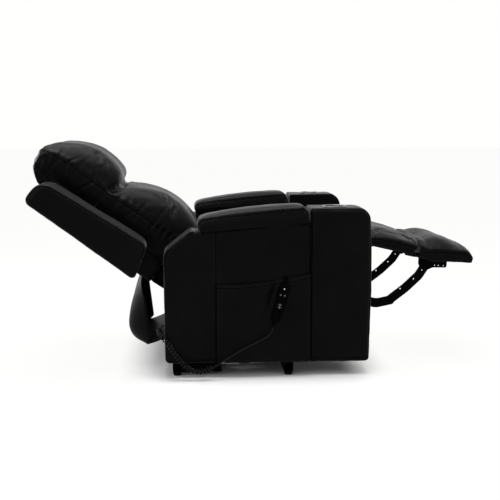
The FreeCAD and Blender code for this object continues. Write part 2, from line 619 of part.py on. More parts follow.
def boards():
    ear, thick = S["ear_radius"], S["board_thick"]
    mid = tilted("mid", S["mid_tilt"])
    span = math.hypot(S["toe_x"] - S["mid_x"], S["toe_z"] - S["mid_z"])
    near, far = 14, 14 + S["mid_length"]

    def outline(frame, corners):
        return rounded([(*frame(u, w), radius) for u, w, radius in corners])
    board = slab("mid_panel", outline(mid, [(near, 2, 2), (far, 2, 2), (far, 2 + thick, 2),
                                            (near, 2 + thick, 2)]), "2 * " + BOARD_HALF, BOARD_HALF)
    mid_ear = outline(mid, [(-ear, ear, 8), (-ear, -ear, 8), (30, -ear, 4), (40, 2, 0), (near, 2, 0),
                            (8, ear, 3)])
    rear_ear = slab("mid_rear_ear", mid_ear + holes((*pivot("mid"), loose)), "plate_thick", "-" + layer(6))
    toe_ear = outline(mid, [(span - 40, 2, 0), (span - 30, -ear, 4), (span + ear, -ear, 8),
                            (span + ear, ear, 8), (span - 6, ear, 3), (far, 2, 0)])
    front_ear = slab("mid_front_ear", toe_ear + holes((*pivot("toe"), hole)), "plate_thick", "-" + layer(6))
    toe_pin = pin("toe_pin", "toe", layer(7), "(%s + plate_thick)" % layer(6))
    node(fuse("mid_board", board, rear_ear, mirror(rear_ear), front_ear, mirror(front_ear), toe_pin,
              mirror(toe_pin)), "mid_board")
    rise, crown = S["mid_edge"], S["mid_crown"]

    def mid_runs(share):
        top = rise + crown * share
        base, draw = 2 + thick + S["bed_gap"], 4 * (1 - share)
        return (((near - 8 + draw, base), (far - draw, base)),
                ((far - draw, base), (far + 3 - draw, base + rise * 0.6), (far - 10, base + top - 4)),
                ((far - 10, base + top - 4), (span / 2, base + top), (near + 4, base + top - 8)),
                ((near + 4, base + top - 8), (near - 9 + draw, base + rise * 0.6), (near - 8 + draw, base)))
    node(soft("mid_pad", across(0, cushion_half - 2), mid_runs, mid), "mid_pad")

    foot = tilted("toe", S["foot_tilt"])
    start, end, low = ear + 3, S["foot_length"] + ear + 3, -8
    plank = slab("foot_panel", outline(foot, [(start, low, 2), (end - 6, low, 5), (end, low + thick, 5),
                                              (start, low + thick, 2)]), "2 * " + BOARD_HALF, BOARD_HALF)
    ear_line = outline(foot, [(-ear, ear, 8), (-ear, -ear, 8), (40, -ear - 4, 4), (40, low, 0),
                              (start, low, 0), (start - 5, ear, 3)])
    hinge_ear = slab("foot_ear", ear_line + holes((*pivot("toe"), loose)), "plate_thick", "-" + layer(7))
    node(fuse("footrest_board", plank, hinge_ear, mirror(hinge_ear)), "footrest_board")
    joint_x, joint_z = pivot("ankle")
    angle = math.radians(S["foot_tilt"])
    dx, dz = joint_x - S["toe_x"], joint_z - S["toe_z"]
    joint_u = dx * math.cos(angle) - dz * math.sin(angle)
    joint_w = dx * math.sin(angle) + dz * math.cos(angle)
    bracket = outline(foot, [(start + 6, low, 0), (joint_u + 90, low, 2), (joint_u + 89, joint_w - 5, 7),
                             (joint_u + 34, joint_w - 7, 12), (joint_u + 16, joint_w - 16, 13),
                             (joint_u - 16, joint_w - 16, 13), (joint_u - 26, joint_w + 6, 10)])
    marks = [(*foot(joint_u + step, joint_w + 2), 2.4) for step in (41, 56, 77)]
    rings = holes((joint_x, joint_z, slack), *marks)
    pair(slab("foot_bracket", bracket + rings, "plate_thick", "-" + layer(3)), "footrest_brackets")
    edge, swell = S["foot_edge"], S["foot_crown"]

    def foot_runs(share):
        base, draw = low + thick + S["bed_gap"], 5 * (1 - share)
        top = base + edge + swell * share
        slope = edge + swell * share * 0.45
        return (((start + draw, base), (end - draw, base)),
                ((end - draw, base), (end - 8 - draw, base + slope * 0.62), (end - 42, base + slope)),
                ((end - 42, base + slope), ((start + end) / 2, top), (start + 10, top - 14 * share)),
                ((start + 10, top - 14 * share), (start + draw - 2, base + edge * 0.8), (start + draw, base)))
    node(soft("footrest_pad", across(0, cushion_half - 2), foot_runs, foot), "footrest_pad")


# Actuators: motor, barrel and rod along the line between two eyes
def actuator(name, eye, end, barrel, fork_around, eye_hole):
    eye_x, eye_z = pivot(eye)
    end_x, end_z = pivot(end)
    way = V(end_x - eye_x, 0, end_z - eye_z)
    length = way.Length
    turn = FreeCAD.Rotation(V(1, 0, 0), way)
    rod_r, tube_r, motor_r = S["rod_radius"], S["barrel_radius"], S["motor_radius"]
    bore = rod_r + S["pin_play"]
    tube = Part.makeCylinder(tube_r, barrel - 30, V(30, 0, 0), V(1, 0, 0))
    head = Part.makeBox(62, 2 * tube_r, 2 * tube_r, V(-4, -tube_r, -tube_r))
    head = head.common(Part.makeCylinder(tube_r + 4, 62, V(-4, 0, 0), V(1, 0, 0)))
    gear = Part.makeBox(40, motor_r * 2 + tube_r, 2 * motor_r, V(14, -motor_r * 2 - 6, -motor_r))
    motor = Part.makeCylinder(motor_r - 1, S["motor_length"], V(54, -motor_r - 6, 0), V(1, 0, 0))
    shell = tube.fuse([head, gear, motor]).removeSplitter()
    shell = shell.cut(Part.makeCylinder(bore, barrel, V(58, 0, 0), V(1, 0, 0)))
    shell = shell.cut(Part.makeCylinder(eye_hole, 4 * motor_r, V(0, 2 * motor_r, 0), V(0, -1, 0)))
    eye_room = Part.makeBox(24, 4 * motor_r, 4 * motor_r, V(-12, -5 * motor_r, -2 * motor_r))
    shell = shell.cut(eye_room.cut(Part.makeBox(30, 3 * tube_r, 4 * motor_r, V(-15, -tube_r, -2 * motor_r))))
    reach = fork_around + S["fork_play"]
    stem = Part.makeCylinder(rod_r, length - reach - 6 - 70, V(70, 0, 0), V(1, 0, 0))
    fork_half = reach + 6
    fork = Part.makeBox(2 * reach + 10, 2 * S["fork_half"], 2 * fork_half,
                        V(length - reach - 8, -S["fork_half"], -fork_half))
    slot = Part.makeBox(3 * reach + 10, 4 * S["fork_half"], 2 * reach,
                        V(length - reach, -2 * S["fork_half"], -reach))
    piston = stem.fuse(fork.cut(slot)).removeSplitter()
    for label, shape in ((name + "_motor", shell), (name + "_rod", piston)):
        item = doc.addObject("Part::Feature", label)
        item.Shape = shape
        item.Placement = FreeCAD.Placement(V(eye_x + S["origin_shift"], 0, eye_z), turn)
        node(item, label)


# Handset with its hook, keys and lamp, in a frame of its own
def handset():
    half, top, foot = S["hand_length"] / 2, S["hand_top"] / 2, S["hand_foot"] / 2
    turn = FreeCAD.Rotation(V(0, 1, 0), S["hand_tilt"])
    back_y = -(side + S["pocket_depth"] + S["pocket_cloth"] + S["hand_gap"])
    outline = [(-foot, -half, 12), (foot, -half, 12), (top, half * 0.25, 40), (top - 2, half, 12),
               (2 - top, half, 12), (-top, half * 0.25, 40)]

    def stand(item, name, y):
        item.Placement = FreeCAD.Placement(V(S["hand_x"] + S["origin_shift"], y, S["hand_z"]), turn)
        return node(item, name)

    def case(name, rings, thick):
        body = doc.addObject("PartDesign::Body", name)
        pad = body.newObject("PartDesign::Pad", name + "_pad")
        pad.Profile = sketch_in(body, name, rounded(outline) + rings)
        bind(pad, Length=thick)
        return body
    back = case("hand_back_case", [], "hand_back")
    roll_edges(back, "hand_back_case", "hand_roll", 0)
    lift, width, hang = S["hook_rise"], S["hook_width"] / 2, S["hand_gap"] + S["pocket_cloth"] + 4
    strap = Part.makeBox(2 * width, 2, lift + 12, V(-width, -2.5, half - 12))
    over = Part.makeBox(2 * width, hang + 2.5, 2, V(-width, -2.5, half + lift - 2))
    inner = Part.makeBox(2 * width, 2, lift + 14, V(-width, hang - 2, half - 14))
    doc.recompute()
    hook = doc.addObject("Part::Feature", "hand_hook")
    hook.Shape = strap.fuse([over, inner]).removeSplitter()
    stand(fuse("hand_back_hook", back, hook), "handset_back", back_y)
    split, ring, ring_z, play = S["ring_split"], S["ring_radius"], S["ring_z"], S["key_play"]
    key_spots = [(side_x * S["key_x"], S["key_z"]) for side_x in (-1, 1)]

    def half_disc(radius, gap, upward):
        rise = math.sqrt(radius ** 2 - gap ** 2)
        ends = V(-rise, upward * gap, 0), V(0, upward * radius, 0), V(rise, upward * gap, 0)
        ends = [end + V(0, ring_z, 0) for end in ends]
        return [Part.Arc(*ends), Part.LineSegment(ends[2], ends[0])]
    key_holes = [(x, z, S["key_radius"] + play) for x, z in key_spots]
    openings = holes((0, S["lamp_z"], S["lamp_radius"]), *key_holes)
    for upward in (1, -1):
        openings += half_disc(ring + play, split - play, upward)
    face = case("hand_face_case", openings, "hand_face")
    roll_edges(face, "hand_face_case", "hand_roll", -S["hand_face"], outer_only=True)
    face_y = back_y - S["hand_back"]
    stand(face, "handset_face", face_y)
    depth = "hand_face - key_travel - 0.6 + key_proud"
    key_y = face_y - S["key_travel"] - 0.6

    def key(name, edges):
        body = doc.addObject("PartDesign::Body", name)
        pad = body.newObject("PartDesign::Pad", name + "_pad")
        pad.Profile = sketch_in(body, name, edges)
        bind(pad, Length=depth)
        stand(body, name, key_y)
    for name, (x, z) in zip(("key_heat", "key_massage"), key_spots):
        key(name, holes((x, z, S["key_radius"])))
    key("key_up", half_disc(ring, split, 1))
    key("key_down", half_disc(ring, split, -1))
    lamp = doc.addObject("PartDesign::Body", "lamp")
    lens = lamp.newObject("PartDesign::Pad", "lamp_pad")
    lens.Profile = sketch_in(lamp, "lamp", holes((0, S["lamp_z"], S["lamp_radius"])))
    bind(lens, Length="hand_face + 0.4")
    stand(lamp, "handset_lamp", face_y)
    relief = doc.addObject("Part::Cone", "relief")
    bind(relief, Radius1="relief_wide", Radius2="cord_radius + 1", Height="relief_length")
    middle = back_y - S["hand_back"]
    down = turn.multVec(V(0, 0, -half))
    relief.Placement = FreeCAD.Placement(V(S["hand_x"] + S["origin_shift"], middle, S["hand_z"]) + down,
                                         turn.multiply(FreeCAD.Rotation(V(1, 0, 0), 180)))
    node(relief, "handset_strain_relief")
    tip = V(S["hand_x"], middle, S["hand_z"]) + turn.multVec(V(0, 0, -half - S["relief_length"]))
    return tip, turn.multVec(V(0, 0, -1))


def roll_edges(body, name, radius, where, outer_only=False):
    """Round the outline's edges on one flat side of a case."""
    doc.recompute()
    tip = body.Tip
    wire = [face for face in tip.Shape.Faces if abs(face.CenterOfMass.y - where) < 1e-3
            and abs(face.normalAt(0, 0).y) > 0.9][0]
    wires = [wire.OuterWire] if outer_only else wire.Wires
    wanted = [edge for ring in wires for edge in ring.Edges]
    edges = ["Edge%d" % (number + 1) for number, edge in enumerate(tip.Shape.Edges)
             if any(edge.isSame(other) for other in wanted)]
    fillet = body.newObject("PartDesign::Fillet", name + "_roll")
    fillet.Base = (tip, edges)
    bind(fillet, Radius=radius)


# Handset cord: a straight stretch, a curly stretch and a tail to the gland
# Points are (x, distance out from the arm's outer face, z).
CORD_STRAIGHT = ((384, 27, 163), (352, 28, 145), (316, 29, 128), (279, 30, 110),
                 (241, 31, 88), (211, 31, 67), (186, 31, 53))
CORD_CURLY = ((186, 31, 53), (155, 32, 38), (129, 33, 31), (103, 33, 38), (74, 32, 58),
              (49, 30, 88), (23, 27, 127), (3, 21, 154), (-15, 2, 170), (-21, -28, 177), (-20, -58, 179))
CORD_TAIL = ((-20, -58, 179), (-19, -82, 178), (-18, -108, 175), (-17, -132, 171), (-15, -154, 167),
             (-7, -172, 165))


def pipe(path, sides_count, start, way):
    """A tube of flat or round section along a wire."""
    if sides_count:
        normal = FreeCAD.Rotation(V(0, 0, 1), way)
        ring = [start + normal.multVec(V(math.cos(angle), math.sin(angle), 0) * S["cord_radius"])
                for angle in [2 * math.pi * step / sides_count for step in range(sides_count)]]
        profile = Part.makePolygon(ring + ring[:1])
    else:
        profile = Part.Wire(Part.Circle(start, way, S["cord_radius"]).toShape())
    return path.makePipeShell([profile], True, False)


def routed(points):
    """Straight runs joined by tangent arcs as large as the shorter run allows; prints the radii."""
    edges, last, radii, length = [], points[0], [], 0
    for index in range(1, len(points) - 1):
        corner = points[index]
        before, after = points[index - 1] - corner, points[index + 1] - corner
        shorter = min(before.Length, after.Length)
        turn = math.pi - before.getAngle(after)
        radius = 0.45 * shorter / math.tan(turn / 2)
        enter = corner + before.normalize() * (0.45 * shorter)
        leave = corner + after.normalize() * (0.45 * shorter)
        middle = (enter + leave) / 2 - corner
        bow = corner + middle.normalize() * (radius / math.cos(turn / 2) - radius)
        edges += [Part.LineSegment(last, enter).toShape(), Part.Arc(enter, bow, leave).toShape()]
        radii.append(radius)
        last = leave
    edges.append(Part.LineSegment(last, points[-1]).toShape())
    length = sum(edge.Length for edge in edges)
    return Part.Wire(edges), radii, length


def straight_cord(name, points):
    path, radii, length = routed(points)
    tube = pipe(path, 0, points[0], points[1] - points[0])
    share = tube.Volume / (length * math.pi * S["cord_radius"] ** 2)
    print(name, "length", round(length, 1), "volume share", round(share, 4),
          "radii", [round(radius) for radius in radii])
    item = doc.addObject("Part::Feature", name)
    item.Shape = tube
    node(place(item), name)


def biarc(start, start_way, end, end_way):
    """Two arcs from one point and direction to another."""
    span = end - start
    both = start_way + end_way
    lead = 2 * (1 - start_way.dot(end_way))
    slope = span.dot(both)
    if lead < 1e-9:
        reach = span.dot(span) / (2 * slope)
    else:
        reach = (-slope + math.sqrt(slope ** 2 + lead * span.dot(span))) / lead
    first, second = start + start_way * reach, end - end_way * reach
    joint = (first + second) / 2
    arcs = []
    for begin, peak, finish in ((start, first, joint), (joint, second, end)):
        middle = (begin + finish) / 2
        half, height = begin.distanceToPoint(finish) / 2, peak.distanceToPoint(middle)
        sag = half * math.tan(math.atan2(height, half) / 2)
        bow = middle + (peak - middle) * (sag / height)
        arcs.append(Part.Arc(begin, bow, finish).toShape())
    return arcs


def curly_cord(name, points):
    """One unbroken helix round a smooth route, on biarcs of a quarter turn."""
    curve = Part.BSplineCurve()
    curve.interpolate(points)
    whole = curve.length()
    lead = 2 * S["cord_radius"]
    turns = int(S["curls"])
    ways = []
    across_way = V(0, 1, 0)
    count = turns * 4

    def centre(share):
        return curve.parameterAtDistance(lead + (whole - 2 * lead) * share)

    def radius_at(share):
        ramp = min(1.0, share * turns / 0.75, (1 - share) * turns / 0.75)
        return S["curl_radius"] * ramp * ramp * (3 - 2 * ramp)

    def helix(share):
        spot = centre(share)
        along = V(*curve.tangent(spot)[0])
        sideways = (across_way - along * across_way.dot(along)).normalize()
        upward = along.cross(sideways)
        angle = 2 * math.pi * turns * share
        return curve.value(spot) + (sideways * math.cos(angle) + upward * math.sin(angle)) * radius_at(share)

    small = 1e-4
    stops = []
    for step in range(count + 1):
        share = step / count
        point = helix(share)
        way = helix(min(1, share + small)) - helix(max(0, share - small))
        stops.append((point, way.normalize()))
    begin, end = points[0], points[-1]
    stops[0] = (stops[0][0], (stops[0][0] - begin).normalize())
    stops[-1] = (stops[-1][0], (end - stops[-1][0]).normalize())
    edges = [Part.LineSegment(begin, stops[0][0]).toShape()]
    for (start, way), (stop, stop_way) in zip(stops, stops[1:]):
        edges += biarc(start, way, stop, stop_way)
    edges.append(Part.LineSegment(stops[-1][0], end).toShape())
    fine = [helix(step / (turns * 24)) for step in range(turns * 24 + 1)]
    least = min(fine[i].distanceToPoint(fine[j]) for i in range(len(fine))
                for j in range(i + 14, min(i + 40, len(fine))))
    tube = pipe(Part.Wire(edges), 6, begin, stops[0][0] - begin)
    print(name, "curls", turns, "least gap to itself", round(least - lead, 2), "length",
          round(sum(edge.Length for edge in edges), 1), "solid", tube.isValid(), round(tube.Volume))
    item = doc.addObject("Part::Feature", name)
    item.Shape = tube
    node(place(item), name)


def beside_arm(points):
    return [V(x, -side - out, z) for x, out, z in points]


def handset_cord(tip, way):
    straight = [tip, tip + way * 17] + beside_arm(CORD_STRAIGHT)
    straight_cord("cord_straight", straight)
    curly_cord("cord_curly", beside_arm(CORD_CURLY))
    mouth = V(S["slat_x"] - S["gland_length"] - 0.5, S["gland_inset"] - arm_in, S["gland_z"])
    straight_cord("cord_tail", beside_arm(CORD_TAIL) + [mouth])
    gland = rod("gland", "slat_x - gland_length", "gland_inset - " + ARM_IN, "gland_z", "gland_radius",
                "gland_length", V(0, 1, 0), 90)
    node(gland, "cord_gland")


# Rear dust flap: a cloth trough from the backrest's lower edge to the rear slat
def rear_flap():
    half, low_z = arm_in - S["flap_inset"], S["slat_bottom"]
    top_x, top_z = in_back(-26, S["core_rear"] - 4)

    def at(x, z):
        return V(x, half, z)
    start, fall, low = at(top_x, top_z), at(top_x - 50, top_z - 190), at(top_x + 4, low_z - 30)
    end = at(S["slat_x"], low_z + 16)
    runs = [Part.Arc(start, at(top_x - 30, top_z - 85), fall),
            Part.Arc(fall, at(top_x - 36, low_z - 6), low),
            Part.Arc(low, at((low.x + end.x) / 2, low.z + 12), end)]
    line = Part.Wire([run.toShape() for run in runs])
    face = line.makeOffset2D(S["cloth_thick"], 0, True, True)
    item = doc.addObject("Part::Feature", "rear_flap")
    item.Shape = face.extrude(V(0, -2 * half, 0))
    node(place(item), "rear_flap")


base_frame()
lift_links()
seat_box()
arms()
seat_cushion()
arm_pads()
backrest()
back_cushions()
footrest()
actuator("lift", "lift_eye", "push", S["lift_barrel"], S["tube_radius"], loose)
actuator("recline", "drive_eye", "drive", S["drive_barrel"], S["tube_radius"],
         S["tube_radius"] + S["pin_play"])
cord_tip, cord_way = handset()
handset_cord(cord_tip, cord_way)
rear_flap()
doc.recompute()

faults = [item.Name for item in doc.Objects if "Invalid" in item.State or "Error" in item.State]
faults += [item.Label for item in nodes if item.Shape.isNull() or not item.Shape.isValid()]
if faults:
    raise RuntimeError("failed: " + ", ".join(faults))
os.makedirs("parts", exist_ok=True)
for item in nodes:
    item.Shape.exportStep("parts/%s.step" % item.Label)
print(len(nodes), "sub-parts written")
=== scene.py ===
# %% [markdown]
# A power lift recliner in black leather, shown lying back with its footrest out.
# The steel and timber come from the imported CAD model. Everything soft is sewn and stuffed here:
# each cushion starts as a copy of its CAD solid, is swelled by a cloth simulation and then gets its seams.

# %% Load the frame
import bmesh
import bpy
import json
import math
import numpy as np
from mathutils import Matrix, Vector
from mathutils.bvhtree import BVHTree
from mathutils.kdtree import KDTree


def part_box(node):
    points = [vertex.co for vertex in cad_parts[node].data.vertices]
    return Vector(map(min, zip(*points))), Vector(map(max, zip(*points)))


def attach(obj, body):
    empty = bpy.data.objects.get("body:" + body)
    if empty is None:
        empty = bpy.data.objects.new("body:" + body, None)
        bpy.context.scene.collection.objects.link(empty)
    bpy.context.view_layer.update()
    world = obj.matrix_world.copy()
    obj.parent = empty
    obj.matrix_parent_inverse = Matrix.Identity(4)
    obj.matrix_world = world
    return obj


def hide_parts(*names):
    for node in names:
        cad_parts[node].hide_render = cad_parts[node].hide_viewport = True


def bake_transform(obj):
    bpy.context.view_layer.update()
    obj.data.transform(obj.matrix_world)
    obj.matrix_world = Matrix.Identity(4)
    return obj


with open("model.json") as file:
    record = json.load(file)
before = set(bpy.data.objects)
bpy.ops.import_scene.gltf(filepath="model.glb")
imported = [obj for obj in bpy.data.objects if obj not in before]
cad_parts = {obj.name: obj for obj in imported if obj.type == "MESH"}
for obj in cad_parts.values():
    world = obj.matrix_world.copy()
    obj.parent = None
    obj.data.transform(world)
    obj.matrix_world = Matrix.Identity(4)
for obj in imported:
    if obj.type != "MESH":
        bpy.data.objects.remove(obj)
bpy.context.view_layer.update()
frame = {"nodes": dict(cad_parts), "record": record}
scene = bpy.context.scene
print("CAD nodes", len(frame["nodes"]))


def placed(name, data):
    """A new object at the origin."""
    piece = bpy.data.objects.new(name, data)
    scene.collection.objects.link(piece)
    return piece


# %% [markdown]
# All places are written as on a workshop drawing: millimetres from the arm's rear edge, the middle and
# the floor. The backrest leans, so its own pieces are measured up along the back and out from its rear face.

# %% Places on the chair
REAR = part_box("arm_side_right")[0].x
ARM_OUT = -1000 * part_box("arm_side_right")[0].y
ARM_IN = -1000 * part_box("arm_side_right")[1].y
WING_OUT = -1000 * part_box("back_wing_right")[0].y
BACK_HALF = 1000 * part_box("head_pillow")[1].y
ARM_JOINT = 546
BACK_FOOT = (-111, 373)
BACK_LEAN = math.radians(36.87)


def at(x, y, z):
    """A point from the drawing, in metres in the shared frame."""
    return Vector((REAR + x / 1000, y / 1000, z / 1000))


def on_back(up, y, out):
    """A point measured up the back and out from its rear face."""
    lean, rise = math.cos(BACK_LEAN), math.sin(BACK_LEAN)
    return at(BACK_FOOT[0] - up * lean + out * rise, y, BACK_FOOT[1] + up * rise + out * lean)


def on_slope(pivot_x, pivot_z, degrees):
    """A frame that starts at a hinge and slopes down to the front."""
    turn = math.radians(degrees)

    def place(u, y, w):
        return at(pivot_x + u * math.cos(turn) + w * math.sin(turn), y,
                  pivot_z - u * math.sin(turn) + w * math.cos(turn))
    return place


on_mid = on_slope(790, 474, 13.08)
on_foot = on_slope(988, 428, 3.5)
print("arm from", round(ARM_IN), "to", round(ARM_OUT), "mm, back half", round(BACK_HALF))

# %% [markdown]
# The photograph is a studio shot from the sitter's right, a little above the arm.
# The camera stands where its perspective says, and its lens gives the same frame.

# %% Camera
CAMERA_AT = at(64.1, -3632, 948.8)
CAMERA_YAW, CAMERA_PITCH, CAMERA_ROLL = 0.0787, 0.1423, -0.0019
camera = placed("photo_camera", bpy.data.cameras.new("photo_camera"))
camera.data.sensor_width = 36
camera.data.lens = 63.84
look = Vector((math.sin(CAMERA_YAW) * math.cos(CAMERA_PITCH), math.cos(CAMERA_YAW) * math.cos(CAMERA_PITCH),
               -math.sin(CAMERA_PITCH)))
right = Vector((math.cos(CAMERA_YAW), -math.sin(CAMERA_YAW), 0))
up = right.cross(look)
turned_right = right * math.cos(CAMERA_ROLL) + up * math.sin(CAMERA_ROLL)
turned_up = up * math.cos(CAMERA_ROLL) - right * math.sin(CAMERA_ROLL)
camera.matrix_world = Matrix.Translation(CAMERA_AT) @ Matrix(
    (turned_right, turned_up, -look)).transposed().to_4x4()
scene.camera = camera
print("camera lens", camera.data.lens)

# %% [markdown]
# A finish is a small node tree. Object coordinates keep a pattern fixed to its piece in every pose.
# A helper makes nodes and joins them, so that each finish below reads as a short list.

# %% Node helpers
scene.view_settings.view_transform = "Standard"


class Finish:
    """A material under construction."""

    def __init__(self, name):
        self.material = bpy.data.materials.new(name)
        self.material.use_nodes = True
        self.tree = self.material.node_tree
        self.shader = self.tree.nodes["Principled BSDF"]

    def add(self, kind, links=(), **values):
        """A node; values go to sockets by name, with spaces as underscores; links are (socket, source)."""
        item = self.tree.nodes.new(kind)
        for name, value in values.items():
            if name in item.bl_rna.properties:
                setattr(item, name, value)
            else:
                item.inputs[name.replace("_", " ")].default_value = value
        for socket, source in links:
            self.tree.links.new(source, item.inputs[socket])
        return item

    def into(self, socket, source):
        self.tree.links.new(source, self.shader.inputs[socket])


def pebbled(finish, size, depth, spread):
    """Bump from small closed cells over a slower swell, in metres of cell size and depth."""
    where = finish.add("ShaderNodeTexCoord").outputs["Object"]
    cells = finish.add("ShaderNodeTexVoronoi", [("Vector", where)], Scale=1 / size)
    swell = finish.add("ShaderNodeTexNoise", [("Vector", where)], Scale=0.06 / size, Detail=3.0)
    grain = finish.add("ShaderNodeBump", [("Height", cells.outputs["Distance"])],
                       Strength=spread, Distance=depth)
    both = finish.add("ShaderNodeBump",
                      [("Height", swell.outputs["Fac"]), ("Normal", grain.outputs["Normal"])],
                      Strength=0.35, Distance=4 * depth)
    finish.into("Normal", both.outputs["Normal"])
    return where


def toned(finish, where, dark, light, size, rough_low, rough_high):
    """Colour and roughness that drift between two values over the surface; one number is a grey."""
    drift = finish.add("ShaderNodeTexNoise", [("Vector", where)], Scale=1 / size, Detail=4.0)
    tone = finish.add("ShaderNodeValToRGB", [("Fac", drift.outputs["Fac"])])
    tone.color_ramp.elements[0].position = 0.3
    tone.color_ramp.elements[0].color = (*np.broadcast_to(dark, 3), 1)
    tone.color_ramp.elements[1].position = 0.7
    tone.color_ramp.elements[1].color = (*np.broadcast_to(light, 3), 1)
    wear = finish.add("ShaderNodeMapRange", [("Value", drift.outputs["Fac"])], From_Min=0.3, From_Max=0.7,
                      To_Min=rough_low, To_Max=rough_high)
    finish.into("Base Color", tone.outputs["Color"])
    finish.into("Roughness", wear.outputs["Result"])


# %% [markdown]
# The leather is almost black, with a fine pebble grain and a soft sheen where it is seen at a low angle.
# The same recipe with other numbers gives lining cloth, rubber and moulded plastic.

# %% Leather, cloth and plastic
def soft_finish(name, dark, light, patch, rough, cell, depth, spread, specular, sheen=0.0):
    finish = Finish(name)
    where = pebbled(finish, cell, depth, spread)
    toned(finish, where, dark, light, patch, *rough)
    finish.shader.inputs["Specular IOR Level"].default_value = specular
    finish.shader.inputs["Sheen Weight"].default_value = sheen
    finish.shader.inputs["Sheen Roughness"].default_value = 0.4
    return finish.material


LEATHER = soft_finish("black_leather", (0.0012, 0.0012, 0.0013), (0.0022, 0.0022, 0.0024), 0.12,
                      (0.31, 0.39), 0.0026, 0.0006, 0.3, 0.034, 0.09)
SEAM = soft_finish("seam_shadow", 0.0006, 0.001, 0.02, (0.7, 0.8),
                   0.002, 0.0003, 0.3, 0.03)
THREAD = soft_finish("black_thread", 0.004, 0.007, 0.01, (0.5, 0.65),
                     0.0006, 0.0002, 0.5, 0.2)
LINING = soft_finish("black_lining", 0.001, 0.002, 0.06, (0.36, 0.46),
                     0.0014, 0.0003, 0.4, 0.034, 0.08)
# Real black dust cloth, made far darker than real cloth: painted shade for the deep gap between wing and arm
# around the lower back frame.
DUST_CLOTH_AND_SHADE = soft_finish("dust_cloth", 0.0003, 0.0006, 0.05, (0.8, 0.95),
                         0.0016, 0.0005, 0.6, 0.004)
BOARD = soft_finish("lacquered_board", 0.0015, 0.003, 0.04, (0.45, 0.6),
                    0.0018, 0.0003, 0.3, 0.06)
PLASTIC = soft_finish("moulded_plastic", 0.0006, 0.0011, 0.03, (0.22, 0.3),
                      0.0009, 0.0001, 0.2, 0.012)
RUBBER = soft_finish("foot_rubber", 0.0015, 0.003, 0.02, (0.6, 0.75),
                     0.0012, 0.0003, 0.4, 0.06)
CORD = soft_finish("cord_rubber", 0.0015, 0.0025, 0.03, (0.32, 0.42),
                   0.0008, 0.0001, 0.2, 0.12)
KEYS = soft_finish("key_plastic", 0.003, 0.005, 0.01, (0.4, 0.5),
                   0.0007, 0.0001, 0.3, 0.1)
MARK = soft_finish("key_mark", 0.16, 0.2, 0.004, (0.5, 0.6), 0.0005, 0.0001, 0.2, 0.3)
print("soft finishes made")

# %% [markdown]
# Metal is powder coated where it moves the chair and bare where it slides or holds a cup.
# Timber gets long rings from a stretched wave, because rails are cut along the grain.

# %% Metal and timber
def metal_finish(name, dark, light, patch, rough, cell, depth, metallic, specular=0.5):
    finish = Finish(name)
    where = pebbled(finish, cell, depth, 0.25)
    toned(finish, where, dark, light, patch, *rough)
    finish.shader.inputs["Metallic"].default_value = metallic
    finish.shader.inputs["Specular IOR Level"].default_value = specular
    return finish.material


BLACK_STEEL = metal_finish("powder_coat", 0.0008, 0.0015, 0.05, (0.38, 0.5),
                           0.0011, 0.0002, 0.0, 0.016)
BRIGHT_STEEL = metal_finish("bright_steel", (0.42, 0.42, 0.43), (0.52, 0.52, 0.53), 0.03, (0.24, 0.36),
                            0.0008, 0.0001, 1.0)
CUP_STEEL = metal_finish("cup_steel", (0.10, 0.10, 0.105), (0.15, 0.15, 0.155), 0.03, (0.2, 0.3),
                         0.0007, 0.0001, 1.0)


def timber_finish():
    finish = Finish("rail_timber")
    where = finish.add("ShaderNodeTexCoord").outputs["Object"]
    along = finish.add("ShaderNodeMapping", [("Vector", where)], Scale=(1.2, 14.0, 14.0))
    rings = finish.add("ShaderNodeTexWave", [("Vector", along.outputs["Vector"])], Scale=4.0, Distortion=6.0,
                       Detail=3.0, Detail_Scale=1.5)
    tone = finish.add("ShaderNodeValToRGB", [("Fac", rings.outputs["Fac"])])
    tone.color_ramp.elements[0].color = (0.06, 0.036, 0.019, 1)
    tone.color_ramp.elements[1].color = (0.12, 0.077, 0.042, 1)
    lift = finish.add("ShaderNodeBump", [("Height", rings.outputs["Fac"])], Strength=0.2, Distance=0.0005)
    finish.into("Base Color", tone.outputs["Color"])
    finish.into("Normal", lift.outputs["Normal"])
    finish.shader.inputs["Roughness"].default_value = 0.62
    return finish.material


def lamp_finish():
    finish = Finish("lamp_lens")
    where = pebbled(finish, 0.0008, 0.0001, 0.2)
    toned(finish, where, (0.5, 0.5, 0.48), (0.62, 0.62, 0.6), 0.002, 0.2, 0.3)
    finish.shader.inputs["Emission Color"].default_value = (1, 1, 0.95, 1)
    finish.shader.inputs["Emission Strength"].default_value = 0.35
    return finish.material


TIMBER = timber_finish()
LAMP = lamp_finish()
BY_SLOT = {"leather": LEATHER, "lining": LINING, "dust_cloth": DUST_CLOTH_AND_SHADE, "black_board": BOARD,
           "timber": TIMBER, "black_steel": BLACK_STEEL,
           "bright_steel": BRIGHT_STEEL, "dark_plastic": PLASTIC, "foot_rubber": RUBBER,
           "cup_steel": CUP_STEEL, "key_plastic": KEYS, "lamp_lens": LAMP, "cord_rubber": CORD}
for subpart in frame["record"]["subparts"]:
    solid = frame["nodes"][subpart["node"]]
    solid.data.materials.clear()
    solid.data.materials.append(BY_SLOT[subpart["material_slot"]])
print("slots dressed", len(BY_SLOT))

# %% [markdown]
# The floor is a white sweep without a visible edge. Under the chair it is plain paint that takes the shadow.
# Further out it glows more and more for the camera and for reflections, so it stays white there.

# %% Floor, world and lamps
STUDIO_WHITE = (1, 1, 0.992, 1)
FLOOR_GLOW, GLOW_REACH = 0.95, 0.23
LIGHT_ROUND, SEEN_ROUND = 0.45, 1.0
BASE_MIDDLE, BASE_HALF_LENGTH, BASE_HALF_WIDTH = REAR + 0.35, 0.32, 0.40


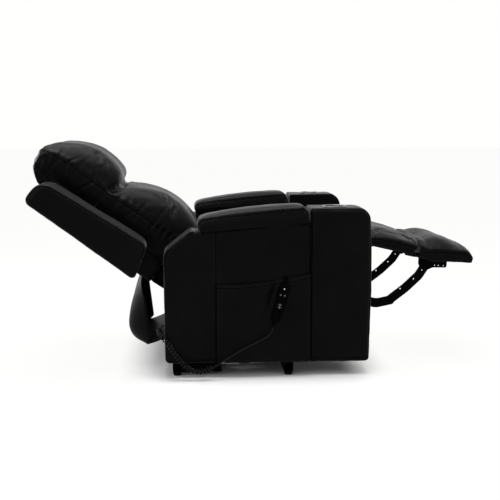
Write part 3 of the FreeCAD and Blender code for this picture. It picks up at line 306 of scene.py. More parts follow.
def seen_directly(tree):
    """One where a ray comes from the camera, a reflection or glass."""
    path = tree.nodes.new("ShaderNodeLightPath")
    total = path.outputs["Is Camera Ray"]
    for other in ("Is Glossy Ray", "Is Transmission Ray"):
        step = tree.nodes.new("ShaderNodeMath")
        step.operation = "MAXIMUM"
        tree.links.new(total, step.inputs[0])
        tree.links.new(path.outputs[other], step.inputs[1])
        total = step.outputs[0]
    return total


def floor_finish():
    finish = Finish("white_sweep")
    finish.shader.inputs["Base Color"].default_value = (0.9, 0.9, 0.9, 1)
    finish.shader.inputs["Roughness"].default_value = 0.9
    finish.shader.inputs["Specular IOR Level"].default_value = 0.0
    tree = finish.tree
    glow = tree.nodes.new("ShaderNodeEmission")
    glow.inputs["Color"].default_value = STUDIO_WHITE
    where = finish.add("ShaderNodeTexCoord").outputs["Object"]
    spread = finish.add("ShaderNodeSeparateXYZ", [("Vector", where)])
    from_middle = finish.add("ShaderNodeMath", [(0, spread.outputs["X"])], operation="SUBTRACT")
    from_middle.inputs[1].default_value = BASE_MIDDLE
    gaps = []
    for source, half in ((from_middle.outputs[0], BASE_HALF_LENGTH), (spread.outputs["Y"], BASE_HALF_WIDTH)):
        size = finish.add("ShaderNodeMath", [(0, source)], operation="ABSOLUTE")
        gap = finish.add("ShaderNodeMath", [(0, size.outputs[0])], operation="SUBTRACT")
        gap.inputs[1].default_value = half
        gaps.append(gap.outputs[0])
    widest = finish.add("ShaderNodeMath", [(0, gaps[0]), (1, gaps[1])], operation="MAXIMUM")
    ramp = finish.add("ShaderNodeMapRange", [("Value", widest.outputs[0])], interpolation_type="SMOOTHSTEP",
                      From_Min=0.0, From_Max=GLOW_REACH, To_Min=0.0, To_Max=FLOOR_GLOW)
    share = finish.add("ShaderNodeMath", [(0, seen_directly(tree)), (1, ramp.outputs["Result"])],
                       operation="MULTIPLY")
    both = tree.nodes.new("ShaderNodeMixShader")
    tree.links.new(share.outputs[0], both.inputs["Fac"])
    tree.links.new(finish.shader.outputs[0], both.inputs[1])
    tree.links.new(glow.outputs[0], both.inputs[2])
    tree.links.new(both.outputs[0], tree.nodes["Material Output"].inputs["Surface"])
    return finish.material


def mesh_piece(name, points, faces, material=None, edges=()):
    mesh = bpy.data.meshes.new(name)
    mesh.from_pydata([tuple(point) for point in points], edges, faces)
    mesh.update()
    if material:
        mesh.materials.append(material)
    return placed(name, mesh)


FLOOR_HALF = 30.0
floor_corners = [(x * FLOOR_HALF, y * FLOOR_HALF, 0) for x, y in ((-1, -1), (1, -1), (1, 1), (-1, 1))]
floor = mesh_piece("white_floor", floor_corners, [(0, 1, 2, 3)], floor_finish())

world = bpy.data.worlds.new("studio")
world.use_nodes = True
scene.world = world
backdrop = world.node_tree.nodes["Background"]
backdrop.inputs["Color"].default_value = STUDIO_WHITE
strength = world.node_tree.nodes.new("ShaderNodeMapRange")
strength.inputs["To Min"].default_value = LIGHT_ROUND
strength.inputs["To Max"].default_value = SEEN_ROUND
world.node_tree.links.new(seen_directly(world.node_tree), strength.inputs["Value"])
world.node_tree.links.new(strength.outputs["Result"], backdrop.inputs["Strength"])


def softbox(name, place, aim, size, power):
    """A square area lamp that faces a point."""
    lamp = bpy.data.lights.new(name, "AREA")
    lamp.size = size
    lamp.energy = power
    stand = placed(name, lamp)
    stand.matrix_world = Matrix.Translation(place) @ (Vector(place) - Vector(aim)).to_track_quat(
        "Z", "Y").to_matrix().to_4x4()


softbox("overhead", (-0.2, 0.1, 3.2), (0, 0, 0.4), 2.6, 165)
softbox("camera_left", (-2.6, -2.4, 2.2), (-0.2, 0, 0.5), 1.6, 18)
softbox("far_left", (-2.8, 1.6, 0.8), (-0.5, 0, 0.3), 1.6, 34)
print("studio lit")

# %% [markdown]
# Upholstery work needs a few tools: copy a solid as one closed skin, even out its mesh, move its points
# along their normals, and find how far each point lies from a sewn line.

# %% Mesh tools
def vectors(source, name):
    found = np.empty(len(source) * 3)
    source.foreach_get(name, found)
    return found.reshape(-1, 3)


def points_of(piece):
    return vectors(piece.data.vertices, "co")


def set_points(piece, points):
    piece.data.vertices.foreach_set("co", np.asarray(points, float).ravel())
    piece.data.update()


def normals_of(piece):
    return vectors(piece.data.vertex_normals, "vector")


def settle(piece):
    """Turn the piece's modifiers into plain mesh."""
    graph = bpy.context.evaluated_depsgraph_get()
    mesh = bpy.data.meshes.new_from_object(piece.evaluated_get(graph))
    piece.modifiers.clear()
    piece.data = mesh
    return piece


def copy_of(node, name):
    """A closed copy of a CAD node."""
    mesh = frame["nodes"][node].data.copy()
    mesh.materials.clear()
    work = bmesh.new()
    work.from_mesh(mesh)
    bmesh.ops.remove_doubles(work, verts=work.verts, dist=1e-5)
    work.to_mesh(mesh)
    work.free()
    return placed(name, mesh)


def even_mesh(piece, cell, smoothing, sharp=None):
    """Rebuild the skin from even squares and soften its edges, apart from those that stay sharp."""
    grid = piece.modifiers.new("even", "REMESH")
    grid.mode = "VOXEL"
    grid.voxel_size = cell
    grid.use_smooth_shade = True
    settle(piece)
    points = points_of(piece)
    soft = ~sharp(points) if sharp else np.full(len(points), True)
    group = piece.vertex_groups.new(name="soft")
    group.add(np.nonzero(soft)[0].tolist(), 1.0, "REPLACE")
    ease = piece.modifiers.new("ease", "SMOOTH")
    ease.factor = 0.5
    ease.iterations = smoothing
    ease.vertex_group = "soft"
    settle(piece)
    piece.vertex_groups.clear()
    return piece


def ripple(points, size, seed):
    """A smooth irregular height, about one bump for each size."""
    dice = np.random.default_rng(seed)
    height = np.zeros(len(points))
    for wave in range(7):
        way = dice.normal(size=3)
        way *= 2 * math.pi / size * dice.uniform(0.6, 1.4) / np.linalg.norm(way)
        height += np.sin(points @ way + dice.uniform(0, 6.28))
    return height / 3.5


# %% [markdown]
# A seam is laid as a line of a few points on the pattern. It is filled in, dropped onto the piece's skin,
# and the leather beside it is drawn in. The thread and the dark joint are added for each body at the end.

# %% Seam tools
SEAM_STEP = 0.004
sewn = {}
shade_gap_lines = []


def dense(corners):
    """Points every few millimetres along a line."""
    corners = [Vector(corner) for corner in corners]
    line = [corners[0]]
    for start, stop in zip(corners, corners[1:]):
        count = max(1, round((stop - start).length / SEAM_STEP))
        line += [start.lerp(stop, step / count) for step in range(1, count + 1)]
    return line


def rounded(corners, rounds=3):
    """Cut each corner of a line, so that a few points give a smooth run."""
    line = [Vector(corner) for corner in corners]
    for _ in range(rounds):
        cut = [line[0]]
        for start, stop in zip(line, line[1:]):
            cut += [start.lerp(stop, 0.25), start.lerp(stop, 0.75)]
        line = cut + [line[-1]]
    return line


def skin_of(piece):
    faces = [tuple(face.vertices) for face in piece.data.polygons]
    return BVHTree.FromPolygons([vertex.co for vertex in piece.data.vertices], faces)


def lay_on(skin, line):
    """The line dropped onto the skin, and the skin's normals there."""
    hits = [skin.find_nearest(point) for point in dense(line)]
    return [hit[0] for hit in hits], [hit[1] for hit in hits]


def near(points, line):
    """Distance from each point to a dense line, and the length along the line there."""
    tree = KDTree(len(line))
    for index, point in enumerate(line):
        tree.insert(point, index)
    tree.balance()
    steps = [0.0]
    for start, stop in zip(line, line[1:]):
        steps.append(steps[-1] + (stop - start).length)
    found = [tree.find(point) for point in points]
    return np.array([hit[2] for hit in found]), np.array([steps[hit[1]] for hit in found])


def draw_in(piece, lines, depth, width):
    """Pull the leather in along sewn lines."""
    points, normals = points_of(piece), normals_of(piece)
    pull = np.zeros(len(points))
    for line in lines:
        distance, along = near(points, line)
        pull = np.maximum(pull, np.exp(-(distance / width) ** 2))
    set_points(piece, points - normals * (depth * pull)[:, None])


def gather(piece, line, reach, depth, spacing, seed):
    """Short irregular puckers across a sewn line, each a narrow valley between two low ridges."""
    points, normals = points_of(piece), normals_of(piece)
    distance, along = near(points, line)
    dice = np.random.default_rng(seed)
    height, place = np.zeros(len(points)), 0.0
    while place < along.max():
        place += spacing * dice.uniform(0.4, 1.6)
        width, length = dice.uniform(0.005, 0.009), reach * dice.uniform(0.4, 1.3)
        lean = dice.uniform(-0.5, 0.5)
        away = (along - place + lean * distance) / width
        fold = 0.5 * np.exp(-(np.abs(away) - 1.7) ** 2) - np.exp(-away ** 2)
        height += dice.uniform(0.25, 1) * fold * np.exp(-(distance / length) ** 1.6)
    set_points(piece, points + normals * (depth * height)[:, None])


def sew(piece, body, lines, depth=0.002, width=0.007):
    """Lay seams on a finished skin and remember them for the thread."""
    skin = skin_of(piece)
    laid = [lay_on(skin, line) for line in lines]
    draw_in(piece, [line for line, normals in laid], depth, width)
    skin = skin_of(piece)
    sewn.setdefault(body, []).extend(lay_on(skin, line) for line, normals in laid)


def mirrored(line):
    return [Vector((point.x, -point.y, point.z)) for point in line]


def finish_piece(piece, body, material, slot, *nodes):
    """Give a piece its finish, its body and the CAD nodes that it stands for."""
    piece.data.materials.clear()
    piece.data.materials.append(material)
    piece.data.polygons.foreach_set("use_smooth", [True] * len(piece.data.polygons))
    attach(piece, body)
    if nodes:
        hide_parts(*nodes)
    print(piece.name, len(piece.data.polygons), "faces")
    return piece


# %% [markdown]
# Foam pushes the leather out everywhere except at its seams and where it rests on something. The cloth
# simulation does just that: pressure inside, pinned seams, and a cap on how far a point may travel.

# %% Cushion tool
SWELL_STEPS = 20


def swell(piece, held, cap, pressure=4.0):
    """Blow a cushion up from a slightly smaller shape."""
    start = points_of(piece)
    pins = piece.vertex_groups.new(name="held")
    pins.add(np.nonzero(held)[0].tolist(), 1.0, "REPLACE")
    cloth = piece.modifiers.new("swell", "CLOTH")
    cloth.settings.quality = 4
    cloth.settings.mass = 0.3
    cloth.settings.use_pressure = True
    cloth.settings.uniform_pressure_force = pressure
    cloth.settings.effector_weights.gravity = 0
    cloth.settings.vertex_group_mass = "held"
    cloth.point_cache.frame_end = SWELL_STEPS
    for step in range(1, SWELL_STEPS + 1):
        scene.frame_set(step)
    graph = bpy.context.evaluated_depsgraph_get()
    move = points_of(piece.evaluated_get(graph)) - start
    far = np.linalg.norm(move, axis=1)
    piece.modifiers.clear()
    piece.vertex_groups.clear()
    set_points(piece, start + move * np.minimum(1, cap / np.maximum(far, 1e-9))[:, None])
    scene.frame_set(1)
    print(piece.name, "swelled", round(1000 * float(np.median(far)), 1), "mm at the median")


def stuffed(piece, body, seams, rests, cap=0.022, cell=0.006, inset=0.007, clear=None, puckers=()):
    """A skin swelled between its seams, with puckers and drawn-in lines."""
    even_mesh(piece, cell, 4)
    points, normals = points_of(piece), normals_of(piece)
    skin = skin_of(piece)
    lines = [lay_on(skin, line)[0] for line in seams]
    flat = rests(points, normals)
    beside = np.min([near(points, line)[0] for line in lines], axis=0)
    set_points(piece, points - normals * (inset * ~flat * np.clip(beside / 0.03, 0.3, 1))[:, None])
    swell(piece, flat | (beside < 0.006), cap)
    ease = piece.modifiers.new("ease", "SMOOTH")
    ease.factor, ease.iterations = 0.5, 2
    finer = piece.modifiers.new("finer", "SUBSURF")
    finer.levels = finer.render_levels = 1
    settle(piece)
    points = points_of(piece)
    set_points(piece, points + normals_of(piece) * (0.0005 * ripple(points, 0.05, 5))[:, None])
    for line, reach, depth, spacing, seed in puckers:
        gather(piece, lay_on(skin_of(piece), line)[0], reach, depth, spacing, seed)
    if clear:
        set_points(piece, clear(points_of(piece)))
    sew(piece, body, seams, 0.003, 0.007)
    return piece


def filled(piece, body, node):
    finish_piece(piece, body, LEATHER, "leather", node)
    return piece


def cushion(node, body, seams, rests, *sizes, **more):
    """A stuffed piece from its CAD solid."""
    return filled(stuffed(copy_of(node, node + "_leather"), body, seams, rests, *sizes, **more), body, node)


# %% [markdown]
# Head pillow and lumbar cushion are boxed cushions: a face panel and a side strip meet in a seam along the
# edge. One strip runs past both, gathered along the seam, and a tuck across the face parts them. So one skin
# is laid over both solids, stuffed with the tuck held down, and cut into two closed pieces along the tuck.

# %% Back cushions
CORE_OUT = 0.108
TUCK_OUT, TUCK_DEPTH, TUCK_WIDTH = 0.196, 0.016, 0.011


def up_and_out(points):
    """How far points lie up the back and out from its rear face, in metres."""
    lean, rise = math.cos(BACK_LEAN), math.sin(BACK_LEAN)
    foot = at(BACK_FOOT[0], 0, BACK_FOOT[1])
    x, z = points[:, 0] - foot.x, points[:, 2] - foot.z
    return z * rise - x * lean, x * rise + z * lean


def from_solids(points):
    """Distance from each point to each of the two cushions' solids."""
    return np.array([[skin.find_nearest(point)[3] for skin in solid_skins] for point in points])


SIDE_STRIP = BACK_HALF - 1


def round_the_end(side_run, end_run):
    """A seam up one side, across the pillow's end and down the other side."""
    side = [on_back(up_by, -SIDE_STRIP, out) for up_by, out in side_run]
    end = [on_back(up_by, y, out) for up_by, y, out in end_run]
    half = side + end
    return rounded(half + mirrored(half)[::-1])


face_seam = round_the_end(
    ((-108, 186), (-96, 196), (-60, 198), (90, 198), (240, 194), (278, 190), (320, 194), (440, 195),
     (520, 191), (548, 184)), ((562, -222, 178), (574, -120, 178), (577, 0, 178)))
rear_seam = round_the_end(
    ((470, 102), (500, 108), (530, 116)), ((546, -236, 120), (566, -120, 118), (570, 0, 118)))
WING_DEPTH = (139, 108)
WING_LENGTH = 492


def between_wings(points):
    """Keep a cushion's sides off the wings; above them they may stand a little proud."""
    up_by, out = up_and_out(points)
    depth = np.interp(up_by * 1000, (0, WING_LENGTH), WING_DEPTH)
    free = np.clip((out * 1000 - depth) / 25, 0, 1)
    limit = (SIDE_STRIP + 10 * free) / 1000
    kept = points.copy()
    kept[:, 1] = np.clip(points[:, 1], -limit, limit)
    return kept


def over_both(upper, lower, name):
    """One mesh of two solids, with the lower one pressed into the upper one where they nearly touch."""
    upper_piece, lower_piece = copy_of(upper, name + "_upper"), copy_of(lower, name)
    skin, points = skin_of(upper_piece), points_of(lower_piece)
    for index, point in enumerate(points):
        place, normal, face, gap = skin.find_nearest(point)
        if gap < 0.009:
            points[index] = np.array(place - normal * 0.002)
    set_points(lower_piece, points)
    work = bmesh.new()
    work.from_mesh(lower_piece.data)
    work.from_mesh(upper_piece.data)
    work.to_mesh(lower_piece.data)
    work.free()
    bpy.data.objects.remove(upper_piece)
    return lower_piece


def cut_apart(piece, names, skins):
    """Closed pieces from one skin; each face goes to the nearest solid."""
    owner = [min((skin.find_nearest(face.center)[3], which) for which, skin in enumerate(skins))[1]
             for face in piece.data.polygons]
    parts = []
    for which, name in enumerate(names):
        work = bmesh.new()
        work.from_mesh(piece.data)
        others = [face for face in work.faces if owner[face.index] != which]
        bmesh.ops.delete(work, geom=others, context="FACES")
        rim = [edge for edge in work.edges if edge.is_boundary]
        lids = bmesh.ops.holes_fill(work, edges=rim, sides=0)["faces"]
        bmesh.ops.triangulate(work, faces=lids)
        bmesh.ops.recalc_face_normals(work, faces=work.faces)
        mesh = bpy.data.meshes.new(name)
        work.to_mesh(mesh)
        work.free()
        parts.append(placed(name, mesh))
    bpy.data.objects.remove(piece)
    return parts


BACK_PAIR = ("head_pillow", "lumbar_cushion")
solid_skins = [skin_of(frame["nodes"][node]) for node in BACK_PAIR]


def on_core_or_tuck(points, normals):
    """Held points: those on the core, and those in the tuck between the two cushions."""
    up_by, out = up_and_out(points)
    tuck = (from_solids(points).max(axis=1) < 0.007) & (out > TUCK_OUT)
    return (out < CORE_OUT) | tuck


def tucked(points):
    """The tuck across the face pulled down, and the sides kept between the wings."""
    away = from_solids(points)
    up_by, out = up_and_out(points)
    pull = TUCK_DEPTH * np.exp(-((away[:, 0] - away[:, 1]) / TUCK_WIDTH) ** 2)
    pull *= np.clip((out - TUCK_OUT + 0.004) / 0.02, 0, 1)
    return between_wings(points - pull[:, None] * np.array(on_back(0, 0, 1000) - on_back(0, 0, 0)))


gathers = [(face_seam, 0.036, 0.0034, 0.032, 13), (rear_seam, 0.03, 0.004, 0.04, 4)]
both_cushions = stuffed(over_both(*BACK_PAIR, "back_cushions"), "back", [face_seam, rear_seam],
                        on_core_or_tuck, 0.020, clear=tucked, puckers=gathers)
cut_cushions = cut_apart(both_cushions, [node + "_leather" for node in BACK_PAIR], solid_skins)
for part, node in zip(cut_cushions, BACK_PAIR):
    filled(part, "back", node)

# %% [markdown]
# The seat cushion fills the space between the arms and is held by the webbing below.
# The two footrest pads lie on their boards, and the arm pads on the arms' sloped ledges.

# %% Seat, footrest and arm pads
SEAT_HALF = 1000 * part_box("seat_cushion")[1].y
SEAT_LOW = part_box("seat_cushion")[0].z


def facing_down(low):
    def rests(points, normals):
        return (normals[:, 2] < -0.6) & (points[:, 2] < low)
    return rests


seat_seam = rounded([at(x, -SEAT_HALF + 1, z) for x, z in
                     ((238, 392), (290, 428), (500, 436), (730, 434), (762, 402))])


def between_arms(points):
    limit = (ARM_IN - 2) / 1000
    return np.clip(points, (-9, -limit, -9), (9, limit, 9))


cushion("seat_cushion", "chair", [seat_seam, mirrored(seat_seam)], facing_down(SEAT_LOW + 0.03), 0.022,
        cell=0.008, clear=between_arms)

PAD_HALF = 1000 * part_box("mid_pad")[1].y
mid_seam = rounded([on_mid(u, -PAD_HALF + 1, w) for u, w in
                    ((6, 28), (22, 34), (100, 36), (170, 35), (200, 28))])
foot_seam = rounded([on_foot(u, -PAD_HALF + 1, w) for u, w in
                     ((14, 15), (26, 19), (120, 20), (186, 18), (226, 12))])
foot_front = [on_foot(232, y, 12) for y in (-PAD_HALF + 6, PAD_HALF - 6)]
FOOT_END, LIP_DEPTH, TOE_REACH, FOLD_REACH = 230, 21, 10, 18
MID_RISE = (0, 53, 114, 140, 160, 175, 186, 194), (-2, -6, -11, -12, -11, -8, 0, 12)
FOOT_RISE = (10, 24, 48, 100, 160, 200, 230), (22, 18, 6, 8, 6, 9, 6)


def under_pad(place):
    base = place(0, 0, 0)
    across_pad = place(0, 0, 1000) - base

    def rests(points, normals):
        return normals @ np.array(across_pad) < -0.6
    return rests


def drawn(place, shape):
    """Move a pad's points along and up its board, by millimetres that depend on where they are."""
    base = np.array(place(0, 0, 0))
    along, upward = np.array(place(1000, 0, 0)) - base, np.array(place(0, 0, 1000)) - base

    def clear(points):
        u, w = 1000 * (points - base) @ along, 1000 * (points - base) @ upward
        reach, rise = shape(u, 1000 * np.abs(points[:, 1]), w)
        return points + (reach[:, None] * along + rise[:, None] * upward) / 1000
    return clear


def flat_top(u, aside, w):
    """The middle pad is level, and its front end fills the fold."""
    rise = np.interp(u, *MID_RISE)
    rise *= np.clip((w - 20) / 40, 0, 1) * np.clip((PAD_HALF - aside) / 60, 0.2, 1)
    return FOLD_REACH * np.clip((u - 140) / 50, 0, 1) ** 2 * np.clip((w - 15) / 32, 0, 1), rise


def round_toe(u, aside, w):
    """The long pad is full to its toe, and its leather goes down over the board's edges."""
    rise = np.interp(u, *FOOT_RISE) * np.clip((w - 6) / 16, 0, 1)
    outside = np.maximum(np.clip((aside - PAD_HALF + 12) / 4, 0, 1), np.clip((u - FOOT_END + 8) / 3, 0, 1))
    lip = LIP_DEPTH * outside * np.clip((14 - w) / 8, 0, 1) * np.clip((u - 10) / 45, 0, 1)
    toe = TOE_REACH * np.clip((u - 205) / 20, 0, 1) * np.exp(-((w - lip - 2) / 14) ** 2)
    return toe - 6 * np.clip((30 - u) / 18, 0, 1) * np.clip((w - 15) / 20, 0, 1), rise - lip


fold_gathers = [(line, 0.02, 0.0012, 0.05, 20) for line in (mid_seam, mirrored(mid_seam))]
toe_gathers = [(line, 0.02, 0.0012, 0.05, 7) for line in (foot_seam, mirrored(foot_seam))]
cushion("mid_pad", "mid_rest", [mid_seam, mirrored(mid_seam)], under_pad(on_mid), 0.006, cell=0.005,
        inset=0.002, clear=drawn(on_mid, flat_top), puckers=fold_gathers)
cushion("footrest_pad", "footrest", [foot_seam, mirrored(foot_seam), foot_front], under_pad(on_foot), 0.009,
        cell=0.005, inset=0.002, clear=drawn(on_foot, round_toe), puckers=toe_gathers)

# %% Arm pads
pad_outer = rounded([at(x, -ARM_OUT + 2, z) for x, z in
                     ((126, 572), (136, 592), (160, 601), (300, 613), (500, 631), (524, 632), (538, 618),
                      (541, 600))])
pad_inner = [Vector((point.x, -2 * (ARM_OUT + ARM_IN) / 2000 - point.y, point.z)) for point in pad_outer]


def on_ledge(points, normals):
    return normals[:, 2] < -0.6


LEDGE_RISE = (0.553, 0.582)
PAD_BULGE = PAD_HANG = 0.006
pad_gathers = [(pad_outer, 0.02, 0.0025, 0.06, 1), (pad_inner, 0.02, 0.0025, 0.06, 2)]


def over_the_edge(points):
    """The pad bulges out over the arm's edges and hangs a little below them."""
    ledge = np.interp(points[:, 0], [at(150, 0, 0).x, at(ARM_JOINT, 0, 0).x], LEDGE_RISE)
    rise = points[:, 2] - ledge
    aside = points[:, 1] + (ARM_OUT + ARM_IN) / 2000
    share = np.clip((np.abs(aside) - 0.045) / 0.02, 0, 1) * np.sign(aside)
    moved = points.copy()
    moved[:, 1] += share * PAD_BULGE * np.exp(-((rise - 0.018) / 0.018) ** 2)
    moved[:, 2] -= np.abs(share) * PAD_HANG * np.exp(-(rise / 0.012) ** 2)
    return moved


arm_pad = cushion("arm_pad_right", "chair", [pad_outer, pad_inner], on_ledge, 0.017, cell=0.005,
                  inset=0.002, clear=over_the_edge, puckers=pad_gathers)
other_pad = copy_of("arm_pad_left", "arm_pad_left_leather")
other_pad.data = arm_pad.data.copy()
set_points(other_pad, points_of(arm_pad) * np.array([1, -1, 1]))
other_pad.data.flip_normals()
finish_piece(other_pad, "chair", LEATHER, "leather", "arm_pad_left")
sewn["chair"] += [(mirrored(line), mirrored(normals)) for line, normals in sewn["chair"][-2:]]

# %% [markdown]
# Arms, wings and the back shell are boards under a thin layer of wadding, so their leather is tight.
# They keep the CAD shape with softened edges, a slight swell and the seams of their panels.

# %% Upholstered boards
def beside_joint(points):
    """Points on the joint between an arm's side and its post, which stays tight."""
    return np.abs(points[:, 0] - at(ARM_JOINT, 0, 0).x) < 0.008


def upholstered(node, body, seams, cell=0.007, smoothing=5, material=LEATHER, slot="leather",
                swell_by=0.0012, sharp=None):
    piece = even_mesh(copy_of(node, node + "_cover"), cell, smoothing, sharp)
    points = points_of(piece)
    lift = swell_by * ripple(points, 0.22, 11) + 0.0004 * ripple(points, 0.05, 12)
    set_points(piece, points + normals_of(piece) * lift[:, None])
    if seams:
        sew(piece, body, seams, 0.0035, 0.008)
    return finish_piece(piece, body, material, slot, node)


arm_back_seam = [at(192, -ARM_OUT, z) for z in (58, 551)]
arm_edge_seam = rounded([at(x, -ARM_OUT + 3, z) for x, z in
                         ((3, 62), (3, 430), (10, 478), (50, 518), (98, 552), (140, 548))])
arm_hem = [at(x, -ARM_OUT, 66) for x in (8, 540)]
arm_joint = [at(543, -ARM_OUT, z) for z in (58, 574)]
post_seam = rounded([at(x, -ARM_OUT + 3, z) for x, z in
                     ((772, 60), (776, 300), (772, 570), (766, 626), (716, 632), (552, 632))])
post_hem = [at(x, -ARM_OUT, 66) for x in (552, 768)]
arm_seams = [arm_back_seam, arm_edge_seam, arm_hem, arm_joint]
wing_seam = rounded([on_back(up_by, -WING_OUT + 2, out) for up_by, out in
                     ((14, 84), (34, 133), (250, 117), (426, 105), (478, 92), (485, 40), (486, 8))])
for side, turn in (("right", list), ("left", mirrored)):
    upholstered("arm_side_" + side, "chair", [turn(line) for line in arm_seams], cell=0.005,
                sharp=beside_joint)
    upholstered("arm_post_" + side, "chair", [turn(post_seam), turn(post_hem)], cell=0.005,
                sharp=beside_joint)
    upholstered("back_wing_" + side, "back", [turn(wing_seam)])
# Dark tubes along the pads' foot, the arm-post joints and the pockets' rear edges are painted shade for
# those gaps, not a real part.
pad_foot = [at(x, -ARM_OUT + 1.5, z - 4.5) for x, z in ((142, 553), (160, 554), (300, 564), (541, 582))]
panel_joint = [at(ARM_JOINT, -ARM_OUT + 1.5, z) for z in (58, 626)]
pocket_joint = [at(192, -ARM_OUT - 0.5, z) for z in (58, 360)]
for line in (pad_foot, panel_joint, pocket_joint):
    shade_gap_lines += [dense(line), mirrored(dense(line))]
outside_back = [[on_back(30, y, 8), on_back(470, y, 8)] for y in (-120, 120)]
upholstered("back_core", "back", outside_back, swell_by=0.0025)
# The lower frame's cover is black dust cloth, with painted shade in its extra darkness.
upholstered("back_lower_frame", "back", [], material=DUST_CLOTH_AND_SHADE, slot="dust_cloth", swell_by=0.002)

# %% [markdown]
# Each pocket is one panel of leather, sewn to the arm on three sides and loose at its mouth.
# It is laid out as a grid, so its sag, its hem and its few soft wrinkles can be written as functions.

# %% Side pockets
POCKET_REAR, POCKET_FRONT, POCKET_LOW = 193, 545, 56
POCKET_STEPS = (58, 52)
BULGE, SAG, WRINKLE, DENT, HAND_PULL = 9.5, 2.2, 3.4, 3.2, 6.5


def grid_faces(columns, rows, first=0):
    """Faces over a grid of points that is written row by row."""
    wide = columns + 1
    return [(corner, corner + 1, corner + wide + 1, corner + wide) for row in range(rows)
            for corner in range(first + row * wide, first + row * wide + columns)]


def turned_over(faces):
    return [face[:1] + face[:0:-1] for face in faces]


def mouth_height(share):
    """The pocket's slanted edge, lowest a little behind the handset."""
    return 357 + 36 * share ** 1.9 - 5 * math.sin(math.pi * share) * (1 - share)


def pocket_point(share, rise):
    """A point of the pocket's outer face on the right arm."""
    x = POCKET_REAR + (POCKET_FRONT - POCKET_REAR) * share
    z = POCKET_LOW + (mouth_height(share) - POCKET_LOW) * rise
    side_hold = min(1, min(share, 1 - share) / 0.1) ** 0.5
    foot_hold = min(1, rise / 0.1) ** 0.5
    bulge = BULGE * side_hold * foot_hold
    sag = SAG * rise * side_hold * math.sin(9 * share + 5 * rise) * math.exp(-4 * (1 - rise))
    wrinkle = WRINKLE * side_hold * math.exp(-((rise - 0.86 + 0.35 * (share - 0.3)) / 0.055) ** 2)
    dent = DENT * side_hold * math.exp(-((rise - 0.74 - 0.32 * (share - 0.3)) / 0.06) ** 2)
    beside_hand = (x - 394 - 0.275 * (z - 286)) / 12
    pulled = HAND_PULL * math.exp(-beside_hand ** 2) * min(1, max(0, (z - 215) / 70))
    out = 1.5 + bulge + sag + wrinkle * math.sin(7 * share) - min(bulge, dent + pulled)
    return at(x, -ARM_OUT - out, z)


def pocket_panels():
    columns, rows = POCKET_STEPS
    points, faces = [], []
    for turn in (1, -1):
        panel = grid_faces(columns, rows, len(points))
        faces += panel if turn == 1 else turned_over(panel)
        for row in range(rows + 1):
            for column in range(columns + 1):
                point = pocket_point(column / columns, row / rows)
                points.append((point.x, turn * point.y, point.z))
    return points, faces


pockets = mesh_piece("side_pocket_panels", *pocket_panels())
wall = pockets.modifiers.new("thickness", "SOLIDIFY")
wall.thickness = 0.0026
wall.offset = -1
finer = pockets.modifiers.new("finer", "SUBSURF")
finer.levels = finer.render_levels = 1
settle(pockets)
mouth_hem = [[pocket_point(share / 20, 0.955) for share in range(21)]]
sew(pockets, "chair", mouth_hem + [mirrored(line) for line in mouth_hem], 0.0008, 0.005)
finish_piece(pockets, "chair", LEATHER, "leather", "side_pockets")

# %% [markdown]
# A cloth flap closes the gap behind the seat. It hangs from the backrest in a loose trough, and its side
# edges curl inwards. It is cloth across the joint between the seat and the back.

# %% Rear flap
FLAP_HALF = 1000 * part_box("rear_flap")[1].y
FLAP_LINE = ((-87.8, 360.6), (-106, 318), (-126, 255), (-139, 185), (-139, 140), (-118, 102), (-82, 90),
             (-34, 104), (18, 128))
FLAP_ROWS, FLAP_COLUMNS = 64, 44
FLAP_EDGE, FLAP_SWAY = 0.62, 0.006
HEM_X, HEM_Z, HEM_SLOPE = -88, 360.6, 0.114


def flap_point(share, across):
    """A point of the cloth; across runs from -1 to 1."""
    spot = share * (len(flap_run) - 1)
    index = min(int(spot), len(flap_run) - 2)
    base = flap_run[index].lerp(flap_run[index + 1], spot - index)
    edge = max(0.0, (abs(across) - FLAP_EDGE) / (1 - FLAP_EDGE))
    hem = at(HEM_X + HEM_SLOPE * (HEM_Z - 1000 * base.z), 0, 0).x
    hang = min(1, max(0, (at(-60, 0, 0).x - base.x) / 0.06))
    curl = max(0, hem - base.x) * hang * edge ** 1.7
    sway = FLAP_SWAY * math.sin(5.2 * across + 1.4) * math.sin(math.pi * share)
    half = FLAP_HALF / 1000 * (1 - 0.04 * math.sin(math.pi * share))
    return Vector((base.x + curl + sway, half * across, base.z + 0.3 * sway))


flap_run = dense(rounded([at(x, 0, z) for x, z in FLAP_LINE]))
flap_points = [flap_point(row / FLAP_ROWS, 2 * column / FLAP_COLUMNS - 1)
               for row in range(FLAP_ROWS + 1) for column in range(FLAP_COLUMNS + 1)]
flap = mesh_piece("rear_flap_cloth", flap_points, turned_over(grid_faces(FLAP_COLUMNS, FLAP_ROWS)), LINING)
wall = flap.modifiers.new("thickness", "SOLIDIFY")
wall.thickness = 0.0016
wall.offset = 0
settle(flap)
flap.data.polygons.foreach_set("use_smooth", [True] * len(flap.data.polygons))
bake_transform(flap)
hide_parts("rear_flap")

# %% [markdown]
# The handset's cord leaves a strain relief, hangs in a bow along the arm and then becomes a curly lead
# that goes round the arm's rear edge into a gland. All of it is one spline: the curls are more points of it.

# %% Handset cord
CORD_STRAIGHT = ((403.30, -426, 196.34), (398.79, -426, 179.95), (384, -427, 163), (352, -428, 145),
                 (316, -429, 128), (279, -430, 110), (241, -431, 88), (211, -431, 67))
CORD_CURLY = ((186, -431, 53), (155, -432, 38), (129, -433, 31), (103, -433, 38), (74, -432, 58),
              (49, -430, 88), (23, -427, 127), (3, -421, 154), (-15, -402, 170), (-21, -372, 177),
              (-20, -342, 179))
CORD_TAIL = ((-19, -318, 178), (-18, -292, 175), (-17, -268, 171), (-15, -246, 167), (-7, -228, 165),
             (7.5, -222, 165))
CURLS, CURL_RADIUS, WIRE_RADIUS, CURL_LEAD = 26, 0.0085, 0.0025, 0.005
POINTS_PER_CURL = 14


